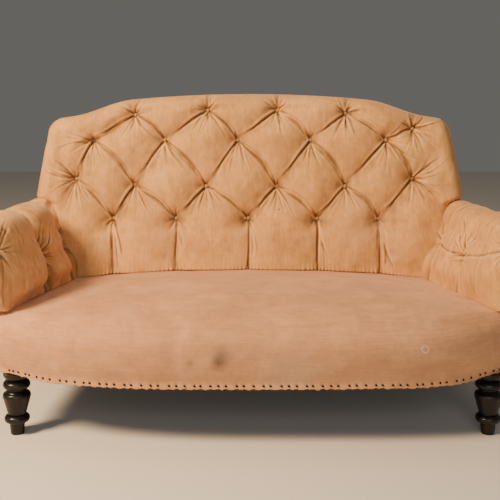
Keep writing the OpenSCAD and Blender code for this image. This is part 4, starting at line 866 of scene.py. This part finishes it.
def arm_pad(name, side, seed, full):
    """One arm: cross-sections along its length, shrunk into a rounded nose at the front and cut down to the
    part beside the back pad behind it. side is -1 or 1; the seed sets its small creases."""
    nose = ARM_NOSE + NOSE_R * (1 - np.cos(np.linspace(0.10, np.pi / 2, 26)))
    ys = np.unique([*nose, *np.arange(nose[-1], MEET_Y, 0.0023), *(fold[0] for fold in FOLDS[1:]), MEET_Y])
    ys = np.sort([*ys, CORNER_Y - 0.0002, CORNER_Y + 0.0003, ARM_REAR + 0.0002, ARM_REAR + 0.0005])
    t = np.linspace(0, 1, 78)[:-1]
    angle = np.linspace(180, -60, 122)
    yy, tt = np.meshgrid(ys, t, indexing="ij")
    fx, fz = face_point(yy, tt, full)
    yr, aa = np.meshgrid(ys, angle, indexing="ij")
    rx, rz = roll_point(yr, aa, full)
    skin_x, skin_z = np.concatenate([fx, rx], 1), np.concatenate([fz, rz], 1)
    deep = np.broadcast_to(ys[:, None], skin_x.shape)
    dx, dz = np.gradient(skin_x, axis=1), np.gradient(skin_z, axis=1)
    tiny = 1e-9
    size = np.hypot(dx, dz) + tiny
    out_x, out_z = -dz / size, dx / size
    along = np.cumsum(size, axis=1)

    # Creases: lumps of the stuffing all over, and fans of pulled cloth that leave each button.
    held = smooth((along - 0.004) / 0.03) * smooth((MEET_Y - 0.008 - deep) / 0.055) \
        * smooth((along[:, -1:] - along) / 0.03)
    crease = 0.0028 * ripple(deep * 14 + 20, along * 9 + seed, seed) \
        + 0.0016 * ripple(deep * 38 + 20, along * 19, seed + 1) \
        + 0.0009 * ripple(deep * 84 + 30, along * 30, seed + 2)
    rng = np.random.default_rng(seed)
    spots = []
    for at, button_z, *_ in FOLDS:
        low = np.argmin(np.abs(ys - at))
        here = np.interp(button_z, skin_z[low, :len(t)], along[low, :len(t)])
        lines = []
        for middle, spread, count, length, depth in ARM_FANS:
            shifts = np.linspace(-1, 1, count) + rng.uniform(-0.2, 0.2, count)
            for turn in np.radians(middle + spread * shifts):
                far = length * rng.uniform(0.6, 1.2)
                lines.append((at, here, at + far * math.cos(turn), here + far * math.sin(turn),
                              far * rng.uniform(-0.10, 0.10),
                              rng.choice((-1, 1)) * rng.uniform(0.0019, 0.0034),
                              depth * (0.4 if at == FOLDS[-1][0] else 1) * rng.uniform(0.6, 1.2), 0.7))
        spots.append((at, here))
        crease += creases(deep, along, lines)
    if full < 1:
        linked = ((-0.010, -0.0050, 0.0030), (-0.021, 0.0026, 0.0016))
        ties = zip(spots, spots[1:])
        crease += creases(deep, along, [(*a, *b, *link, 0) for a, b in ties for link in linked])

    # Body: the skin joined to the hidden side, drawn together at the nose and tucked into the back pad.
    skin_x = skin_x + out_x * crease * held
    skin_z = skin_z + out_z * crease * held
    kinds = np.where(ys < CORNER_Y, 0, np.where(ys < ARM_REAR + 0.0003, 1, 2))
    inner = np.select([kinds[:, None, None] == 0, kinds[:, None, None] == 1],
                      [hollow(ys, "nose"), hollow(ys, "post")], hollow(ys, "rail"))
    path = np.concatenate([points(skin_x, skin_z), inner], axis=1)
    path = path + (np.array(NOSE_TIP) - path) * nose_pull(ys)[:, None, None]
    tuck = 0.040 * smooth((ys[:, None] - MEET_Y + 0.05) / 0.05)
    tuck = tuck * smooth((POST_OUT + 0.004 - path[..., 0]) / 0.02)
    body = points(path[..., 0], lean_back(ys[:, None], path[..., 1]) + tuck, path[..., 1])

    # Tail: outside the back pad only the roll runs on, along the arm rail to the rear of the post.
    end_x = POST_OUT + 0.0006
    yt = np.linspace(MEET_Y + 0.0003, Y_POST + POST_DEEP - 0.001, 22)
    first = int(np.argmin(np.abs(angle - 140)))
    yy, aa = np.meshgrid(yt, angle[first:], indexing="ij")
    rx, rz = roll_point(yy, aa, full)
    rx = np.maximum(rx, end_x)
    climb = np.tile(np.linspace(0, 1, len(t) + first), (len(yt), 1))
    cx = np.full_like(climb, end_x)
    cz = RAIL_Z1 + 0.0006 + 0.018 * climb
    rail = hollow(yt, "rail")
    slide = (np.arange(5) + 1)[None] / 5
    lid_x = rail[:, :1, 0] + (end_x + 0.001 - rail[:, :1, 0]) * slide
    over = points(np.concatenate([cx, rx], 1), np.concatenate([cz, rz], 1))
    tail = np.concatenate([over, rail[:, :3], points(lid_x, RAIL_Z1 + 0.0005)], axis=1)
    tail = points(tail[..., 0], lean_back(yt[:, None], tail[..., 1]), tail[..., 1])
    rings = np.concatenate([body, tail]) * (side, 1, 1)
    # Fold value: painted shade with some dirt in each drawn-in fold, painted shade on the flank behind each
    # inner fold, and rubbed pale on the ridges of the creases.
    crease_wear_and_shade = np.zeros(rings.shape[:2])
    drawn = arm_dip(deep, skin_z, 0.5, full)
    shaded_flank = sum(np.exp(-((deep - at - 0.018) / 0.026) ** 2) for at, *_ in FOLDS[1:])
    shade = 0.95 * full * shaded_flank * smooth((ROLL_Z + 0.045 - skin_z) / 0.09)
    dark = np.maximum(0.95 * np.clip(drawn / 0.032, 0, 1) ** 2.4, shade)
    crease_wear_and_shade[:len(ys), :skin_x.shape[1]] = np.clip(worn_by(crease - 0.5 * drawn, 0.0016) + dark, -1, 1)
    return skin(name, rings, chain=len(t) + len(angle), attributes={"fold": crease_wear_and_shade})


for arm_name, arm_side, arm_seed, full in ARMS:
    pad = arm_pad("arm_velvet_" + arm_name, arm_side, arm_seed, full)
    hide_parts("inside_arm_" + arm_name)
    pad.data.materials.append(back_cloth)


# Arm buttons: two on each inner face and one on the nose, like those of the back.
for arm_name, arm_side, _, full in ARMS:
    spots, ways = [], []
    for at, button_z, *_ in FOLDS[1:]:
        px, pz = face_point(np.array(at), np.array((button_z - PAD_BASE) / (ROLL_Z - PAD_BASE)), full)
        spots.append((px * arm_side, lean_back(at, pz), pz))
        ways.append((-arm_side, -0.15, 0.25))
    at = FOLDS[0][0]
    px, pz = roll_point(np.array(at), np.array(160.0), full)
    px, pz = (p + (tip - p) * nose_pull(at) for p, tip in zip((px, pz), NOSE_TIP))
    spots.append((px * arm_side, at, pz))
    ways.append((-0.766 * arm_side, -0.583, 0.272))
    covered_buttons("arm_covered_buttons_" + arm_name, np.array(spots, float), np.array(ways),
                    "arm_buttons_" + arm_name)


# Outside back: one plain piece of velvet over a lining, tacked to the frame's rear edges from the crest to
# the rear rail. It is stretched, and hollows slightly between the posts.
def tacked_sheet(name, lines, thick, outwards, seed, node):
    """A thin sheet through lines of points (n, k, 3): a spline up each line, with slack ripples of 1 mm
    that run up and down and die out at the tacked edges. It is as thick as given, towards outwards."""
    k = lines.shape[1]
    mesh_line = spline(lines, np.linspace(0, k - 1, 70))
    mesh_line = spline(mesh_line.transpose(1, 0, 2), np.linspace(0, len(lines) - 1, 120)).transpose(1, 0, 2)
    n, m = mesh_line.shape[:2]
    a, b = np.meshgrid(np.linspace(0, 1, n), np.linspace(0, 1, m), indexing="ij")
    held = (np.minimum(1, 8 * a * (1 - a)) * np.minimum(1, 8 * b * (1 - b)))[..., None]
    slack = 0.0012 * ripple(a * 9, b * 5, seed) + 0.0005 * ripple(a * 30, b * 12, seed + 1)
    outwards = np.array(outwards, float)
    face = mesh_line + outwards * (slack[..., None] + 0.0004) * held
    rings = np.concatenate([face, (face + outwards * thick)[:, ::-1]], axis=1)
    piece = skin(name, rings, chain=m)
    piece.data.materials.append(back_cloth)
    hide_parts(node)
    return piece


ANKLE = 0.044
ANKLE_Z = 0.172
ARM_BACK_X = POST_OUT + 0.048
y_out = POST_T + 0.0034
lines = []
for c in (-1, -0.93, -0.8, -0.66, -0.5, -0.25, 0, 0.25, 0.5, 0.66, 0.8, 0.93, 1):
    xt = c * (HALF_W - 0.022)
    zt = float(top_edge(np.array(xt))) - 0.030
    rail_y = Y_POST + ANKLE + 0.0004 + y_out - POST_T
    low = [(c * (POST_OUT + 0.004), rail_y + 0.001, HEM_Z + 0.001), (c * POST_OUT, rail_y - 0.006, RAIL_TOP)]
    sides = ((ARM_BACK_X, EDGE_Z + 0.06), (ARM_BACK_X, ARM_H), (flare(ARM_H + 0.06) - 0.003, ARM_H + 0.06),
             (flare(BACK_H - 0.15) - 0.003, min(zt - 0.008, BACK_H - 0.15)))
    high = [leant(c * half, y_out, z) for half, z in sides] + [leant(xt, y_out, zt)]
    lines.append([*low, *high])
outside = tacked_sheet("outside_back_velvet", np.array(lines), 0.002, (0, 1, 0), 61, "outside_back")


# Outside arms: a flat piece of the same velvet on each side, from beneath the roll to the seat rail, tacked
# along every edge. It stands upright on the rail and flares out to meet the roll.
for arm_name, arm_side in (("left", -1), ("right", 1)):
    lines = []
    for k in range(9):
        column = []
        for j, z in enumerate((HEM_Z + 0.001, RAIL_TOP, EDGE_Z, EDGE_Z + 0.066, RAIL_Z0 - 0.024)):
            rear_edge = post_face(z) + POST_DEEP if z > RAIL_TOP else \
                Y_POST + ANKLE + (POST_DEEP - ANKLE) * (z - ANKLE_Z) / (RAIL_TOP - ANKLE_Z)
            y = CORNER_Y + 0.0014 + (rear_edge - 0.0006 - CORNER_Y - 0.0014) * k / 8
            block = CORNER_Y + 0.051
            back = np.clip((y - block) / (Y_POST - block), -0.8, 1)
            low_x = RAIL_OUT + (POST_OUT - RAIL_OUT) * back + 0.0004
            high_x = float(roll_x(y)) + 0.004
            x = (low_x, low_x, low_x + 0.0024, low_x + 0.0024 + (high_x - low_x - 0.0024) * 0.4, high_x)[j]
            column.append((x * arm_side, y, z))
        lines.append(column)
    panel = tacked_sheet("outside_arm_velvet_" + arm_name, np.array(lines), 0.0018, (arm_side, 0, 0),
                         65 + arm_side, "outside_arm_" + arm_name)


# Front legs: turned beech on a spigot, ebonised with black stain and french polished, with a soft gloss.
# The polish is dull where feet have rubbed it, and the wood is brown where it has chipped at the edges and
# the foot.
ebonised, tree, shader, place = new_material("ebonised_beech_leg", Coat_Weight=0.2, Coat_Roughness=0.14,
                                             Specular_IOR_Level=0.22)
grain = add_node(tree, "ShaderNodeMapping", {}, place, Scale=(1 / 0.0015, 1 / 0.0015, 1 / 0.03))
grain = noise(tree, grain, 1.0, 5.0, 0.6)
scuff = ramp(tree, noise(tree, place, 0.012, 6.0, 0.72), 0.56, 0.72)
foot = ramp(tree, add_node(tree, "ShaderNodeSeparateXYZ", {}, place).outputs["Z"], 0.035, 0.0, 0.25, 1.0)
worn = add_node(tree, "ShaderNodeMath", {"operation": "MULTIPLY"}, scuff, foot)
wire_up(tree, shader, mix(tree, worn, mix(tree, grain, "#0B0A0A", "#181413"), "#4E3524"),
        ramp(tree, scuff, 0.0, 1.0, 0.36, 0.7), grain, 0.25, 0.0006)
dress(ebonised, "front_leg_left", "front_leg_right")


# Frame: beech, sawn and planed, left raw inside the upholstery. The rear posts run down to the floor as the
# back legs, and below the rail they are stained black like the front ones.
def raw_timber(name, early, late, blackened_below):
    """Planed timber with its grain along the object's x axis. Colour = mix(early, late, rings stretched 1:15
    along the grain), black below the height given."""
    material, tree, shader, place = new_material(name, Roughness=0.62)
    along = add_node(tree, "ShaderNodeMapping", {}, place, Scale=(1 / 0.09, 1 / 0.006, 1 / 0.006))
    rings = noise(tree, along, 1.0, 6.0, 0.55, 0.4)
    fleck = add_node(tree, "ShaderNodeMapping", {}, place, Scale=(1 / 0.004, 1 / 0.0008, 1 / 0.0008))
    tone = mix(tree, rings, early, late)
    tone = mix(tree, ramp(tree, noise(tree, fleck, 1.0), 0.55, 0.75, 0.0, 0.35), tone, "#8C6A46")
    height = add_node(tree, "ShaderNodeSeparateXYZ", {}, place).outputs["Z"]
    tone = mix(tree, ramp(tree, height, blackened_below, blackened_below - 0.002), tone, "#211D1B")
    wire_up(tree, shader, tone, None, rings, 0.3, 0.0004)
    return material


# Planed beech, pale and pinkish brown, for all that the covers hide, and the same wood blackened at the
# foot.
beech = raw_timber("planed_beech", "#D2AC80", "#B98C5E", -1.0)
dress(beech, "seat_stretchers", "front_rail", "rear_rail", "crest_rail", "lower_back_rail", "back_muntins")
for part in ("corner_block", "side_rail", "arm_post", "arm_rail", "arm_tacking_rail"):
    dress(beech, part + "_left", part + "_right")
posts = raw_timber("beech_post_ebonised_foot", "#C9A175", "#AF8255", HEM_Z)
dress(posts, "back_post_left", "back_post_right")


# Springs, webbing and canvases: copper-washed steel coils stand on tight jute webbing and are lashed with
# hemp twine. Hessian covers them, and the same hessian lines the back and the arms below their horsehair.
def jute(name, warp, weft, pitch, stripe=0.0):
    """Plain-woven jute: two sine gratings of the thread pitch crossed at right angles set the bump and part
    of the colour, and noise gives the slubs. A stripe above zero adds a dark line each 50 mm."""
    material, tree, shader, place = new_material(name, Roughness=0.9, Sheen_Weight=0.15)

    def grating(way, pitch, distortion=0.0):
        """Bands of the given pitch: the wave texture repeats each 0.314 m at a scale of one."""
        settings = {"wave_type": "BANDS", "bands_direction": way}
        return add_node(tree, "ShaderNodeTexWave", settings, Vector=place, Scale=0.314 / pitch,
                        Distortion=distortion).outputs[1]

    threads = grating("X", pitch, 0.6), grating("Y", pitch, 0.6)
    weave = add_node(tree, "ShaderNodeMath", {"operation": "MULTIPLY"}, *threads)
    slub = noise(tree, place, 0.009, 5.0, 0.65)
    mixed = add_node(tree, "ShaderNodeMath", {"operation": "MULTIPLY_ADD"}, weave, 0.5, slub)
    line = ramp(tree, grating("DIAGONAL", 0.05), 0.9, 1.0, 0.0, stripe)
    tone = mix(tree, line, mix(tree, mixed, weft, warp), "#3A2F28")
    wire_up(tree, shader, tone, None, weave, 0.6, pitch / 3)
    return material


# Jute webbing with its dark stripe, loose hessian canvas and hard hemp twine: three weaves of bast fibre.
dress(jute("jute_webbing", "#B89468", "#8E6C46", 0.0022, 0.8), "seat_webbing", "back_webbing")
dress(jute("hessian_canvas", "#B99A6C", "#8A6B45", 0.0016), "seat_canvas", "back_canvas", "arm_canvas_left",
      "arm_canvas_right", "edge_roll", "back_lining")
dress(jute("hemp_twine", "#C8B28A", "#9A8058", 0.0012), "spring_lacing")

# Copper-washed spring steel, the wash tarnished brown in patches.
wire, tree, shader, place = new_material("copper_washed_spring_steel", Metallic=0.9)
tarnish = noise(tree, place, 0.012, 5.0, 0.7)
wire_up(tree, shader, mix(tree, tarnish, "#8A5E42", "#4A3A33"), ramp(tree, tarnish, 0.3, 0.7, 0.3, 0.65))
dress(wire, "seat_springs")

# Teased horsehair, a curled black-brown mat.
hair, tree, shader, place = new_material("teased_horsehair", Roughness=0.7, Sheen_Weight=0.3)
curl = noise(tree, place, 0.004, 8.0, 0.8, 2.5)
wire_up(tree, shader, mix(tree, curl, "#17120F", "#5B4636"), None, curl, 0.9, 0.003)
dress(hair, "seat_stuffing")


# Bottom cloth: thin black glazed cotton tacked under the rails to keep dust off the springs. It sags a few
# millimetres between them.
low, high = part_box("bottom_cloth")
across = np.linspace(-1, 1, 150)
t = np.linspace(0, 1, 90)
mid = (low[2] + high[2]) / 2
half_x = np.minimum(high[0], -low[0]) - 0.012
x = across[:, None] * half_x * np.ones_like(t)
front = front_y(x) + 0.018
back_y = high[1] - 0.002
y = front + (back_y - front) * t
held = (1 - np.abs(across)[:, None] ** 6) * (4 * t * (1 - t)) ** 0.6
z = mid - 0.0030 * held * (0.7 + 0.3 * ripple(x * 6, y * 5, 81)) + 0.0004 * ripple(x * 40, y * 14, 82) * held
face = points(x, y, z)
rings = np.concatenate([face, (face + (0, 0, 0.0006))[:, ::-1]], axis=1)
bottom = skin("black_bottom_cloth", rings, chain=len(t))
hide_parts("bottom_cloth")
# Glazed black cotton, thin and plain-woven, greyed by dust.
cotton, tree, shader, place = new_material("glazed_black_cotton", Roughness=0.75)
tone = mix(tree, noise(tree, place, 0.08, 6.0, 0.7), "#141313", "#3A3733")
wire_up(tree, shader, tone, None, noise(tree, place, 0.0012, 3.0), 0.4, 0.0004)
bottom.data.materials.append(cotton)
